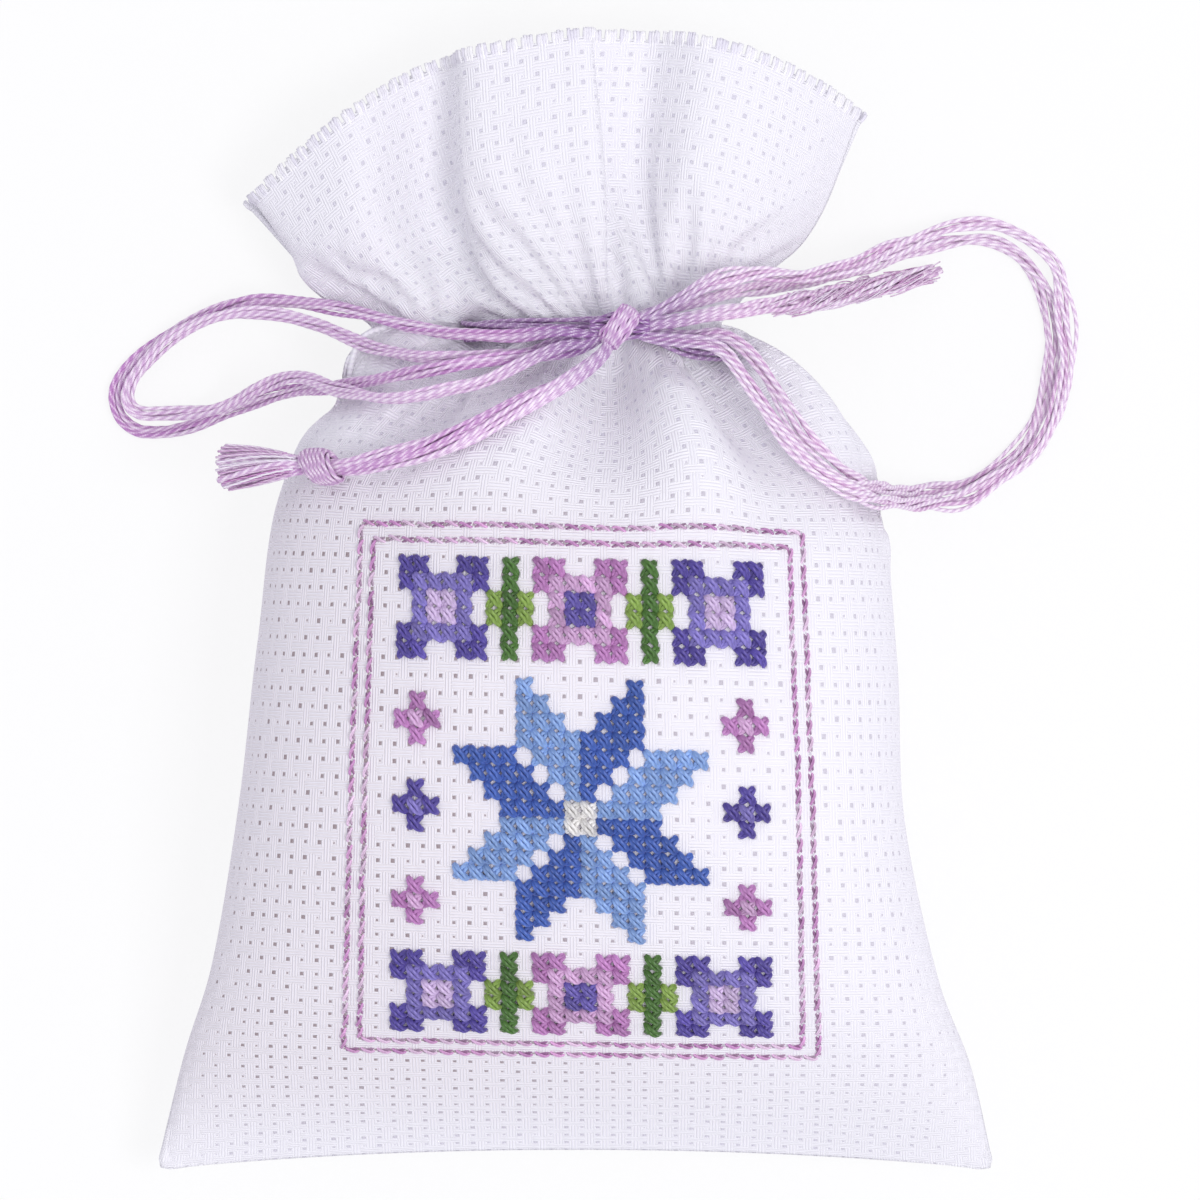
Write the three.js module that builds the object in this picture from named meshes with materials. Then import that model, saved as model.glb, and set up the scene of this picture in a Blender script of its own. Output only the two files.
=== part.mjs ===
// Lavender sachet: a small bag of 18-count cross-stitch cloth, embroidered on the front, filled with dried
// lavender, gathered at the neck and tied with a bow of embroidery floss.
// It lies on its back. Millimetres, +X to the right, +Y from the bottom seam to the mouth, +Z up.
// The origin is under the middle of the bag, on the surface that it lies on.
import * as THREE from "three";

// Cloth and thread
const clothThickness = 0.6;
const fitGap = 0.3; // between pieces that touch
const seamThreadRadius = 0.25;

// Bag below the neck, seen from above
const bagLength = 74.4; // bottom seam to neck
const bottomWidth = 74.8; // corner to corner
const cornerReach = 0.7; // how far the corners stand below the middle of the bottom seam
const hipWidth = 65.4;
const hipAbove = 17; // above the bottom seam
const bellyWidth = 58.6;
const shoulderWidth = 53.0;
const shoulderBelow = 14.6; // below the neck
const napeWidth = 42.0;
const napeBelow = 6.2; // below the neck

// Neck and frill, seen from above
const neckWidth = 18.0;
const neckShift = 2.0; // the gathered neck sits right of the middle
const frillLength = 26.4; // neck to the middle of the mouth
const frillWidth = 42.6; // half way up the frill
const frillTilt = 3.2; // half way up, how far the right edge stands above the middle
const frillSag = 7.4; // half way up, how far both edges stand below the middle
const mouthWidth = 55.8;
const mouthShift = -1.8;
const mouthTilt = 4.0;
const mouthSag = 10.8;

// Heights above the surface that the bag lies on
const bottomSeamHeight = 8.0;
const hipSeamHeight = 13.0;
const hipRise = 15.5; // from the side seam up to the front
const bellySeamHeight = 15.0;
const bagThickness = 36.0; // back to front, at the belly
const shoulderSeamHeight = 14.4;
const shoulderRise = 17.4;
const napeRise = 11.2;
const neckHeight = 13.0; // middle of the neck
const neckThickness = 12.0;
const frillSeamHeight = 8.4;
const frillRise = 8.6;
const mouthSeamHeight = 6.4;
const mouthRise = 9.6;
const mouthDrop = 5.2; // from the side seam down to the back
const backSlack = 3.0; // how far the back would sag if nothing held it up

// Section of the bag
const sectionPower = 2.3; // 2 is an ellipse, more is boxier
const crownShift = 0.1; // share of the half width by which the front is highest right of the middle

// Gathers: crests and valleys in turn across the panel, as shares of its half width
const frontFolds = [-0.79, -0.36, -0.1, 0.16, 0.33, 0.51, 0.8];
const backFolds = [-0.7, -0.35, 0.05, 0.4, 0.75];
const shoulderFoldDepth = 0.3;
const neckFoldDepth = 0.7;
const frillFoldDepth = 1.9;
const mouthFoldDepth = 2.6;
const backFoldShare = 0.4; // the back lies flatter than the front

// Panel mesh
const panelRows = 22;
const frontColumns = 26;
const backColumns = 20;

// Filling
const fillingGap = 0.8; // inside the cloth
const fillingSide = 1.6; // from its sides to the side seams, clear of their threads
const fillingStart = 7; // above the bottom seam
const fillingEnd = 8; // below the neck
const fillingRows = 11;
const fillingColumns = 12;

// Embroidery, counted in woven blocks
const stitchWidth = 1.35; // one woven block across, one cross stitch, as it shows from above
const stitchLength = 1.36; // one block along, as it shows from above
const stitchThickness = 0.55;
const stitchLift = 0.45; // above the cloth, measured upright
const frameColumns = 30;
const frameRows = 34;
const frameBottom = 10.2; // outer line above the bottom seam
const frameCentre = 0.5;
const frameThreadWidth = 0.5;
const starSize = 4; // blocks along one side of a petal
const flowerSpacing = 9; // blocks between flowers in a row
const flowerInset = 5; // blocks from the outer line to a flower's middle
const diamondSpacing = 5;
const diamondInset = 4;
const motifGap = 0.6; // between neighbouring motifs

// Tie of floss
const loopBundleRadius = 0.75;
const leftTailRadius = 1.0;
const rightTailRadius = 0.8;
const neckWrapRadius = 0.9;
const neckWrapClearance = 1.9; // room for the gathers inside the wrap
const bowKnotRadius = 2.4;
const bowKnotLength = 5.2; // along the bag
const bowKnotShift = 2.0; // right of the neck's middle
const tailKnotLength = 3.4;
const tailKnotRadius = 1.7;
const brushLength = 8.0;
const brushStart = 0.9;
const brushEnd = 2.1;
const brushDroop = 0.5; // how steeply the cut ends hang

const bellyRise = bagThickness - bellySeamHeight;
const wholeLength = bagLength + frillLength;
const bottomY = -wholeLength / 2;
const neckY = bottomY + bagLength;
const neckHalfThickness = neckThickness / 2;

// Stations from the bottom seam to the mouth. Every curve below runs through them in step.
const stations = [
  {
    along: 0,
    width: bottomWidth,
    seam: bottomSeamHeight,
    rise: 0,
    drop: 0,
    sag: cornerReach,
  },
  {
    along: hipAbove / 2,
    width: (bottomWidth + hipWidth) / 2 + 0.9,
    seam: (bottomSeamHeight + hipSeamHeight) / 2 + 0.4,
    rise: hipRise * 0.62,
    drop: hipSeamHeight * 0.66,
  },
  {
    along: hipAbove,
    width: hipWidth,
    seam: hipSeamHeight,
    rise: hipRise,
    drop: hipSeamHeight + backSlack,
  },
  {
    along: (2 * hipAbove + bagLength - shoulderBelow) / 3,
    width: (hipWidth + 2 * bellyWidth) / 3,
    seam: bellySeamHeight,
    rise: bellyRise,
    drop: bellySeamHeight + backSlack,
  },
  {
    along: (hipAbove + 2 * (bagLength - shoulderBelow)) / 3,
    width: bellyWidth,
    seam: bellySeamHeight,
    rise: bellyRise,
    drop: bellySeamHeight + backSlack,
  },
  {
    along: bagLength - shoulderBelow,
    width: shoulderWidth,
    seam: shoulderSeamHeight,
    rise: shoulderRise,
    drop: shoulderSeamHeight,
    fold: shoulderFoldDepth,
  },
  {
    along: bagLength - napeBelow,
    width: napeWidth,
    shift: neckShift / 2,
    seam: (shoulderSeamHeight + neckHeight) / 2,
    rise: napeRise,
    drop: (shoulderSeamHeight + neckHalfThickness) / 2,
    fold: (shoulderFoldDepth + neckFoldDepth) / 2,
  },
  {
    along: bagLength,
    width: neckWidth,
    shift: neckShift,
    seam: neckHeight,
    rise: neckHalfThickness,
    drop: neckHalfThickness,
    fold: neckFoldDepth,
  },
  {
    along: bagLength + frillLength / 4,
    width: (neckWidth + 2 * frillWidth) / 3 - 1.5,
    shift: neckShift / 4,
    seam: (neckHeight + frillSeamHeight) / 2,
    rise: (neckHalfThickness + frillRise) / 2,
    drop: neckHalfThickness,
    sag: frillSag * 0.42,
    tilt: frillTilt * 0.55,
    fold: (neckFoldDepth + frillFoldDepth) / 2,
  },
  {
    along: bagLength + frillLength / 2,
    width: frillWidth,
    seam: frillSeamHeight,
    rise: frillRise,
    drop: (neckHalfThickness + mouthDrop) / 2,
    sag: frillSag,
    tilt: frillTilt,
    fold: frillFoldDepth,
  },
  {
    along: wholeLength,
    width: mouthWidth,
    shift: mouthShift,
    seam: mouthSeamHeight,
    rise: mouthRise,
    drop: mouthDrop,
    sag: mouthSag,
    tilt: mouthTilt,
    fold: mouthFoldDepth,
  },
];

// A smooth curve through three of the stations' values; a value that a station leaves out is 0.
function stationCurve(...keys) {
  const points = stations.map((s) => new THREE.Vector3(...keys.map((k) => s[k] ?? 0)));
  return new THREE.CatmullRomCurve3(points, false, "catmullrom", 0.5);
}
const outlineCurve = stationCurve("along", "width", "shift");
const heightCurve = stationCurve("seam", "rise", "drop");
const frillCurve = stationCurve("sag", "tilt", "fold");

// The bag's cross section at a share t of the way through the stations.
function sectionAt(t) {
  const outline = outlineCurve.getPoint(t);
  const height = heightCurve.getPoint(t);
  const frill = frillCurve.getPoint(t);
  return {
    along: outline.x,
    half: outline.y / 2,
    shift: outline.z,
    seam: height.x,
    rise: Math.max(height.y, 0),
    drop: Math.max(height.z, 0),
    sag: frill.x,
    tilt: frill.y,
    fold: Math.max(frill.z, 0),
  };
}

// The share t whose section lies a given distance above the bottom seam.
function shareAt(along) {
  let low = 0;
  let high = 1;
  for (let i = 0; i < 40; i++) {
    const middle = (low + high) / 2;
    if (outlineCurve.getPoint(middle).x < along) low = middle;
    else high = middle;
  }
  return (low + high) / 2;
}

// Rounded section: 1 in the middle and 0 at the side seams.
function roundness(u) {
  return Math.max(1 - Math.abs(u) ** sectionPower, 0) ** (1 / sectionPower);
}

// Wave with its crests and valleys at the given shares, fading out at the side seams.
function foldWave(u, folds) {
  let i = 0;
  while (i < folds.length - 2 && u > folds[i + 1]) i++;
  const phase = i + (u - folds[i]) / (folds[i + 1] - folds[i]);
  return Math.cos(Math.PI * phase) * (1 - u ** 4);
}

// Height of the front or back cloth over a section, at a distance x from its middle.
function clothHeight(front, section, x, inset, nearSeam) {
  const u = THREE.MathUtils.clamp(x / (section.half - inset), -1, 1);
  const wave = (folds) => section.fold * foldWave(x / section.half, folds);
  const sunk = inset * (1 - nearSeam);
  if (front) {
    const crowned = u - crownShift * (1 - u * u);
    const rise = Math.max(section.rise - sunk, 0) * roundness(crowned);
    return section.seam + fitGap / 2 + rise + wave(frontFolds);
  }
  const drop = Math.max(section.drop - sunk, 0) * roundness(u);
  const sagged = section.seam - fitGap / 2 - drop + backFoldShare * wave(backFolds);
  return Math.max(sagged, inset); // the surface under the bag holds it up
}

// A point of the cloth: t along the bag, u across it, inset from the outside by a distance.
function clothPoint(front, t, u, inset) {
  const section = sectionAt(t);
  const seamReach = 6; // within this distance the inset turns from upright to along the bag
  const nearSeam = Math.max(0, 1 - section.along / seamReach);
  const x = (section.half - inset) * u;
  const share = x / section.half;
  if (inset * nearSeam > 0) section.seam = sectionAt(shareAt(section.along + inset * nearSeam)).seam;
  const y = bottomY + section.along + inset * nearSeam + section.tilt * share - section.sag * share * share;
  return new THREE.Vector3(section.shift + x, y, clothHeight(front, section, x, inset, nearSeam));
}

// Shares across a panel, closer together at the side seams.
function columnShares(columns) {
  return Array.from({ length: columns + 1 }, (_, i) => {
    const s = (2 * i) / columns - 1;
    return (s + Math.sin((s * Math.PI) / 2)) / 2;
  });
}

function solidFrom(points, triangles) {
  const geometry = new THREE.BufferGeometry().setFromPoints(points);
  geometry.setIndex(triangles.flat());
  return geometry;
}

// A closed body through rings of points, each joined to the next, with its two ends filled to their middles.
function loft(rings) {
  const count = rings[0].length;
  const points = rings.flat();
  const triangles = [];
  for (let r = 0; r + 1 < rings.length; r++) {
    for (let i = 0; i < count; i++) {
      const a = r * count + i;
      const b = r * count + ((i + 1) % count);
      triangles.push([a, b, b + count], [a, b + count, a + count]);
    }
  }
  [rings[0], rings.at(-1)].forEach((ring, end) => {
    const middle = points.length;
    const first = end === 0 ? 0 : (rings.length - 1) * count;
    points.push(ring.reduce((sum, p) => sum.add(p), new THREE.Vector3()).divideScalar(count));
    for (let i = 0; i < count; i++) {
      const edge = [first + i, first + ((i + 1) % count)];
      triangles.push(end === 0 ? [edge[1], edge[0], middle] : [edge[0], edge[1], middle]);
    }
  });
  return solidFrom(points, triangles);
}

// One panel: its outer and inner faces, joined round the side seams, the bottom and the mouth.
function panelSolid(front, columns) {
  const across = columnShares(columns);
  const wide = across.length;
  const face = (inset) =>
    Array.from({ length: panelRows + 1 }, (_, r) =>
      across.map((u) => clothPoint(front, r / panelRows, u, inset)),
    ).flat();
  const points = [...face(0), ...face(clothThickness)];
  const inner = wide * (panelRows + 1);
  const triangles = [];
  const quad = (a, b, c, d) => triangles.push([a, b, c], [a, c, d]);
  for (let r = 0; r < panelRows; r++) {
    for (let c = 0; c < columns; c++) {
      const a = r * wide + c;
      quad(a, a + 1, a + wide + 1, a + wide);
      quad(inner + a, inner + a + wide, inner + a + wide + 1, inner + a + 1);
    }
    for (const [a, b] of [
      [r * wide + wide, r * wide],
      [r * wide + columns, r * wide + wide + columns],
    ])
      quad(a, inner + a, inner + b, b);
  }
  for (let c = 0; c < columns; c++) {
    for (const [a, b] of [
      [c, c + 1],
      [panelRows * wide + c + 1, panelRows * wide + c],
    ])
      quad(a, inner + a, inner + b, b);
  }
  return solidFrom(points, front ? triangles : triangles.map(([a, b, c]) => [a, c, b]));
}

// The filling takes the inside of both panels, from above the bottom seam to below the neck.
function fillingSolid() {
  const inset = clothThickness + fillingGap;
  const across = columnShares(fillingColumns);
  const start = shareAt(fillingStart);
  const end = shareAt(bagLength - fillingEnd);
  const rings = Array.from({ length: fillingRows + 1 }, (_, r) => {
    const t = THREE.MathUtils.lerp(start, end, r / fillingRows);
    const reach = 1 - fillingSide / sectionAt(t).half;
    const row = (front) => across.map((u) => clothPoint(front, t, u * reach, inset));
    return [...row(true), ...row(false).reverse()];
  });
  return loft(rings);
}

// A round section carried through the given points.
function tubeThrough(points, radius, sides) {
  const last = points.length - 1;
  const tangents = points.map((_, i) => {
    const behind = points[Math.max(i - 1, 0)];
    return points[Math.min(i + 1, last)].clone().sub(behind).normalize();
  });
  const normal = new THREE.Vector3(0, 0, 1).cross(tangents[0]).normalize();
  const rings = points.map((point, i) => {
    normal.addScaledVector(tangents[i], -normal.dot(tangents[i])).normalize();
    const across = tangents[i].clone().cross(normal);
    return Array.from({ length: sides }, (_, k) => {
      const angle = (2 * Math.PI * k) / sides;
      const out = point.clone().addScaledVector(normal, radius * Math.cos(angle));
      return out.addScaledVector(across, radius * Math.sin(angle));
    });
  });
  return loft(rings);
}

// Height of a panel's inner face at a row of its mesh, straight between two columns.
function innerHeight(front, t, u) {
  const across = columnShares(front ? frontColumns : backColumns);
  let i = 0;
  while (i < across.length - 2 && u > across[i + 1]) i++;
  const [a, b] = [across[i], across[i + 1]].map((share) => clothPoint(front, t, share, clothThickness).z);
  return THREE.MathUtils.mapLinear(u, across[i], across[i + 1], a, b);
}

// The room between the two panels, inside, on each side of the seam plane.
function insideRoom(t, u) {
  const seam = sectionAt(t).seam;
  return Math.min(innerHeight(true, t, u) - seam, seam - innerHeight(false, t, u));
}

const seamThreadRoom = seamThreadRadius + 1.5 * fitGap;
const seamThreadInset = seamThreadRadius + 2 * fitGap; // clear of the cloth's inner edge

// The outermost share across where a seam thread fits between the panels.
function seamShare(t, side) {
  let inside = 0.6;
  let outside = 1;
  for (let i = 0; i < 30; i++) {
    const middle = (inside + outside) / 2;
    if (insideRoom(t, side * middle) > seamThreadRoom) inside = middle;
    else outside = middle;
  }
  return side * (inside - seamThreadInset / sectionAt(t).half);
}

// Thread of a side seam, sewn from above the bottom corner to the mouth.
function sideSeamThread(side) {
  const points = [];
  for (let row = 2; row <= panelRows; row++) {
    const t = row / panelRows;
    const point = clothPoint(true, t, seamShare(t, side), clothThickness);
    points.push(point.setZ(sectionAt(t).seam));
  }
  return tubeThrough(points, seamThreadRadius, 5);
}

// Thread of the bottom seam, as low as it fits between the panels' first two rows.
function bottomSeamThread() {
  const stops = 24;
  const reach = 0.88; // share of the half width, clear of the side seams' threads
  const points = Array.from({ length: stops + 1 }, (_, i) => {
    const u = THREE.MathUtils.lerp(-reach, reach, i / stops);
    const rows = [0, 1 / panelRows].map((t) => clothPoint(true, t, u, clothThickness).setZ(sectionAt(t).seam));
    return rows[0].lerp(rows[1], seamThreadRoom / insideRoom(1 / panelRows, u));
  });
  return tubeThrough(points, seamThreadRadius, 5);
}

// Place of a block corner on the front: columns from the frame's middle, rows from its outer bottom line.
function blockCorner(column, row, lift) {
  const x = frameCentre + column * stitchWidth;
  const along = frameBottom + row * stitchLength;
  const section = sectionAt(shareAt(along));
  const z = clothHeight(true, section, x - section.shift, 0, 0);
  return new THREE.Vector3(x, bottomY + along, z + lift);
}

// Stitches over a set of blocks: one thin plate that follows the cloth.
function stitchPlate(cells) {
  const middle = [0, 1].map((k) => cells.reduce((sum, cell) => sum + cell[k] + 0.5, 0) / cells.length);
  const reach = [0, 1].map((k) => Math.max(...cells.map((cell) => Math.abs(cell[k] + 0.5 - middle[k]) + 0.5)));
  const shrink = reach.map((r) => 1 - motifGap / 2 / (r * stitchWidth));
  const points = [];
  const triangles = [];
  const corners = new Map();
  const corner = (column, row, top) => {
    const key = `${column} ${row} ${top}`;
    if (!corners.has(key)) {
      const c = middle[0] + (column - middle[0]) * shrink[0];
      const r = middle[1] + (row - middle[1]) * shrink[1];
      corners.set(key, points.length);
      points.push(blockCorner(c, r, stitchLift + (top ? stitchThickness : 0)));
    }
    return corners.get(key);
  };
  const quad = (a, b, c, d) => triangles.push([a, b, c], [a, c, d]);
  const taken = new Set(cells.map(([c, r]) => `${c} ${r}`));
  for (const [c, r] of cells) {
    const ring = [
      [c, r],
      [c + 1, r],
      [c + 1, r + 1],
      [c, r + 1],
    ];
    const beside = [
      [c, r - 1],
      [c + 1, r],
      [c, r + 1],
      [c - 1, r],
    ];
    const top = ring.map(([x, y]) => corner(x, y, true));
    const under = ring.map(([x, y]) => corner(x, y, false));
    quad(...top);
    quad(under[0], under[3], under[2], under[1]);
    beside.forEach(([x, y], i) => {
      const next = (i + 1) % 4;
      if (!taken.has(`${x} ${y}`)) quad(under[i], under[next], top[next], top[i]);
    });
  }
  return solidFrom(points, triangles);
}

// One line of the frame: a thread round a rectangle of blocks.
function frameLine(inset) {
  const halfColumns = frameColumns / 2 - inset;
  const rows = [inset, frameRows - inset];
  const step = 2; // blocks between points
  const outline = [];
  const side = (from, to) => {
    const count = Math.round(Math.hypot(to[0] - from[0], to[1] - from[1]) / step);
    for (let i = 0; i < count; i++) {
      const part = i / count;
      outline.push([from[0] + (to[0] - from[0]) * part, from[1] + (to[1] - from[1]) * part]);
    }
  };
  const corners = [
    [-halfColumns, rows[0]],
    [halfColumns, rows[0]],
    [halfColumns, rows[1]],
    [-halfColumns, rows[1]],
  ];
  corners.forEach((from, i) => side(from, corners[(i + 1) % 4]));
  const middleRow = frameRows / 2;
  const halfRows = middleRow - inset;
  const halfThread = frameThreadWidth / 2 / stitchWidth;
  const rings = outline.map(([column, row]) => {
    const at = (out, lift) => {
      const c = column * (1 + (out * halfThread) / halfColumns);
      const r = middleRow + (row - middleRow) * (1 + (out * halfThread) / halfRows);
      return blockCorner(c, r, lift);
    };
    const high = stitchLift + stitchThickness;
    return [at(-1, stitchLift), at(1, stitchLift), at(1, high), at(-1, high)];
  });
  const points = rings.flat();
  const triangles = [];
  rings.forEach((_, r) => {
    for (let i = 0; i < 4; i++) {
      const a = 4 * r + i;
      const b = 4 * r + ((i + 1) % 4);
      const ahead = (v) => (v + 4) % points.length;
      triangles.push([a, ahead(b), b], [a, ahead(a), ahead(b)]);
    }
  });
  return solidFrom(points, triangles);
}

// A petal of the eight-pointed star: a leaning square of blocks in one of the eight directions.
function starPetal(direction) {
  const steep = direction % 2 === 0;
  const right = direction < 4;
  const up = direction % 4 < 2;
  const cells = [];
  for (let i = 0; i < starSize; i++) {
    for (let b = 1; b <= starSize; b++) {
      const [x, y] = steep ? [i, i + b] : [i + b, i];
      cells.push([right ? x : -1 - x, frameRows / 2 + (up ? y : -1 - y)]);
    }
  }
  return stitchPlate(cells);
}

// A plate of blocks given as offsets from the block above and right of a block corner.
function motif(column, row, offsets) {
  return stitchPlate(offsets.map(([x, y]) => [column + x, row + y]));
}

// Blocks from -size to size - 1 both ways that pass a test of their steps out from the middle corner.
function blocksWhere(size, test) {
  const steps = Array.from({ length: 2 * size }, (_, i) => i - size);
  const out = (step) => (step < 0 ? -1 - step : step);
  return steps.flatMap((x) => steps.map((y) => [x, y])).filter(([x, y]) => test(out(x), out(y)));
}
const flowerBlocks = blocksWhere(3, (x, y) => !(x === 0 && y === 2) && !(x === 2 && y === 0));
const centreBlocks = blocksWhere(1, () => true);
const diamondBlocks = [[0, 0], [1, 0], [-1, 0], [0, 1], [0, -1]];
const stemBlocks = [-3, -2, -1, 0, 1, 2].map((y) => [0, y]);
const leafBlocks = [[-1, -1], [-1, 0], [1, -1], [1, 0]];
const sprigBlocks = [...stemBlocks, ...leafBlocks];

function material(color, roughness) {
  return new THREE.MeshStandardMaterial({ color, roughness, metalness: 0 });
}
const cloth = material("#f4f3f9", 0.9);
const seamCotton = material("#efeef6", 0.85);
const driedLavender = material("#7a6f93", 1);
const tieFloss = material("#c99ad2", 0.6);
const frameFloss = material("#d9a3cf", 0.6);
const violetFloss = material("#6f63b4", 0.6);
const pinkFloss = material("#cd9bcb", 0.6);
const greenFloss = material("#6c9140", 0.6);
const deepBlueFloss = material("#4f72c4", 0.6);
const paleBlueFloss = material("#8fb0e2", 0.6);
const whiteFloss = material("#fbfaf5", 0.65);

const sachet = new THREE.Group();
function add(name, geometry, finish) {
  const mesh = new THREE.Mesh(geometry, finish);
  mesh.name = name;
  sachet.add(mesh);
  return mesh;
}

// Bag
add("front_panel", panelSolid(true, frontColumns), cloth);
add("back_panel", panelSolid(false, backColumns), cloth);
add("left_seam_thread", sideSeamThread(-1), seamCotton);
add("right_seam_thread", sideSeamThread(1), seamCotton);
add("bottom_seam_thread", bottomSeamThread(), seamCotton);
add("lavender_filling", fillingSolid(), driedLavender);

// Embroidery
add("frame_outer_stitches", frameLine(0), frameFloss);
add("frame_inner_stitches", frameLine(1), frameFloss);
for (let direction = 0; direction < 8; direction++) {
  const deep = (direction + Math.floor(direction / 2) + Math.floor(direction / 4)) % 2 === 0;
  add(`star_petal_${direction + 1}`, starPetal(direction), deep ? deepBlueFloss : paleBlueFloss);
}
const starMiddle = frameRows / 2;
add("star_centre", motif(0, starMiddle, centreBlocks), whiteFloss);
[flowerInset, frameRows - flowerInset].forEach((row, line) => {
  [-1, 0, 1].forEach((place, i) => {
    const finish = place === 0 ? pinkFloss : violetFloss;
    add(`flower_${3 * line + i + 1}`, motif(place * flowerSpacing, row, flowerBlocks), finish);
  });
  [-1, 1].forEach((side, i) => {
    const column = Math.floor((side * flowerSpacing) / 2);
    add(`sprig_${2 * line + i + 1}`, motif(column, row, sprigBlocks), greenFloss);
  });
});
[-1, 1].forEach((side, line) => {
  const reach = frameColumns / 2 - diamondInset;
  [-1, 0, 1].forEach((place, i) => {
    const column = side < 0 ? -reach : reach - 1;
    const row = starMiddle + place * diamondSpacing - (place < 0 ? 1 : 0);
    add(`diamond_${3 * line + i + 1}`, motif(column, row, diamondBlocks), place === 0 ? violetFloss : pinkFloss);
  });
});

// Tie: the wrap round the neck and the knot of the bow
const wrapHalfWidth = neckWidth / 2 + neckWrapClearance + neckWrapRadius;
const wrapHalfHeight = neckHalfThickness + neckWrapClearance + neckWrapRadius;
const wrapStops = 16;
const wrapPoints = Array.from({ length: wrapStops }, (_, i) => {
  const angle = (2 * Math.PI * i) / wrapStops;
  const x = neckShift + wrapHalfWidth * Math.cos(angle);
  return new THREE.Vector3(x, neckY, neckHeight + wrapHalfHeight * Math.sin(angle));
});
const wrapCurve = new THREE.CatmullRomCurve3(wrapPoints, true);
add("neck_wrap", new THREE.TubeGeometry(wrapCurve, 2 * wrapStops, neckWrapRadius, 6, true), tieFloss);

const bowKnot = add("bow_knot", new THREE.SphereGeometry(1, 14, 10), tieFloss);
const bowKnotHeight = neckHeight + wrapHalfHeight + neckWrapRadius + fitGap + bowKnotRadius;
bowKnot.scale.set(bowKnotRadius, bowKnotLength / 2, bowKnotRadius);
bowKnot.position.set(neckShift + bowKnotShift, neckY, bowKnotHeight);

// Tie: loops and tails, as lists of points that the bundles of floss follow
const leftLoopOuter = [
  [1.0, 24.3, 25.4],
  [-1.4, 24.0, 24.9],
  [-5.4, 23.3, 22.9],
  [-9.0, 23.5, 21.2],
  [-12.1, 23.8, 19.4],
  [-15.4, 24.5, 16.6],
  [-19.2, 25.7, 12.6],
  [-22.5, 26.4, 9.6],
  [-26.3, 26.9, 6.6],
  [-29.9, 26.9, 4.4],
  [-33.1, 26.1, 2.6],
  [-36.3, 24.8, 1.5],
  [-38.9, 23.0, 0.9],
  [-40.8, 21.3, 0.8],
  [-41.9, 19.9, 0.8],
  [-42.3, 18.8, 0.8],
  [-42.2, 17.6, 0.8],
  [-41.6, 16.3, 0.8],
  [-40.3, 15.3, 0.8],
  [-38.9, 15.1, 0.8],
  [-37.0, 15.3, 0.9],
  [-34.5, 15.9, 1.4],
  [-31.5, 17.1, 2.7],
  [-28.6, 18.1, 5.0],
  [-25.6, 18.7, 8.2],
  [-22.7, 19.0, 12.0],
  [-19.1, 19.4, 17.2],
  [-15.9, 19.8, 21.0],
  [-12.2, 20.4, 23.2],
  [-8.5, 21.0, 23.6],
  [-1.4, 21.4, 23.6],
  [1.0, 22.1, 23.7],
];
const leftLoopInner = [
  [1.0, 23.7, 23.8],
  [-1.4, 22.9, 22.9],
  [-4.2, 21.7, 22.0],
  [-7.0, 21.6, 21.8],
  [-10.0, 21.5, 21.6],
  [-13.5, 21.5, 20.4],
  [-16.6, 22.1, 17.2],
  [-19.8, 23.2, 13.4],
  [-23.0, 24.6, 10.6],
  [-26.3, 25.5, 8.0],
  [-29.5, 25.9, 6.3],
  [-32.7, 25.7, 4.6],
  [-35.5, 24.6, 3.3],
  [-37.7, 23.3, 2.6],
  [-39.4, 21.7, 2.2],
  [-40.5, 20.2, 2.2],
  [-41.0, 19.0, 2.2],
  [-41.0, 17.9, 2.2],
  [-40.4, 17.1, 2.2],
  [-39.1, 16.7, 2.3],
  [-36.0, 16.8, 2.6],
  [-33.1, 17.2, 4.0],
  [-30.8, 17.9, 5.6],
  [-29.1, 18.8, 7.2],
  [-27.5, 19.6, 8.6],
  [-26.0, 19.9, 10.6],
  [-24.2, 19.7, 12.8],
  [-21.6, 18.8, 16.6],
  [-19.0, 18.1, 20.6],
  [-16.6, 17.8, 23.2],
  [-14.0, 17.9, 24.8],
  [-10.9, 18.5, 25.4],
  [-7.8, 19.3, 25.4],
  [-1.4, 22.0, 25.3],
  [1.0, 22.7, 25.4],
];
const rightLoopOuter = [
  [7.0, 26.3, 25.7],
  [9.3, 27.3, 24.9],
  [12.3, 28.4, 23.2],
  [15.3, 28.8, 20.6],
  [18.4, 28.9, 17.4],
  [21.5, 29.1, 13.9],
  [24.6, 30.0, 10.6],
  [27.7, 31.3, 7.4],
  [30.9, 32.7, 4.7],
  [33.7, 33.8, 2.9],
  [36.8, 34.2, 2.2],
  [39.2, 33.9, 2.1],
  [41.4, 33.0, 2.1],
  [43.0, 31.6, 2.1],
  [44.1, 29.9, 2.1],
  [44.7, 27.3, 2.1],
  [45.0, 23.6, 2.1],
  [44.8, 20.2, 2.1],
  [44.0, 16.7, 2.1],
  [42.4, 14.1, 2.1],
  [40.4, 12.1, 2.1],
  [38.3, 10.5, 2.8],
  [35.8, 9.2, 4.0],
  [32.9, 8.6, 7.2],
  [29.9, 8.5, 13.2],
  [27.2, 8.7, 20.8],
  [24.7, 9.3, 25.4],
  [22.6, 10.5, 26.9],
  [20.8, 11.9, 27.1],
  [19.2, 13.6, 26.9],
  [17.6, 15.7, 26.6],
  [16.0, 18.1, 26.1],
  [14.5, 20.2, 25.8],
  [13.0, 21.8, 25.6],
  [10.8, 22.5, 25.5],
  [7.0, 22.2, 25.6],
];
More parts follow.
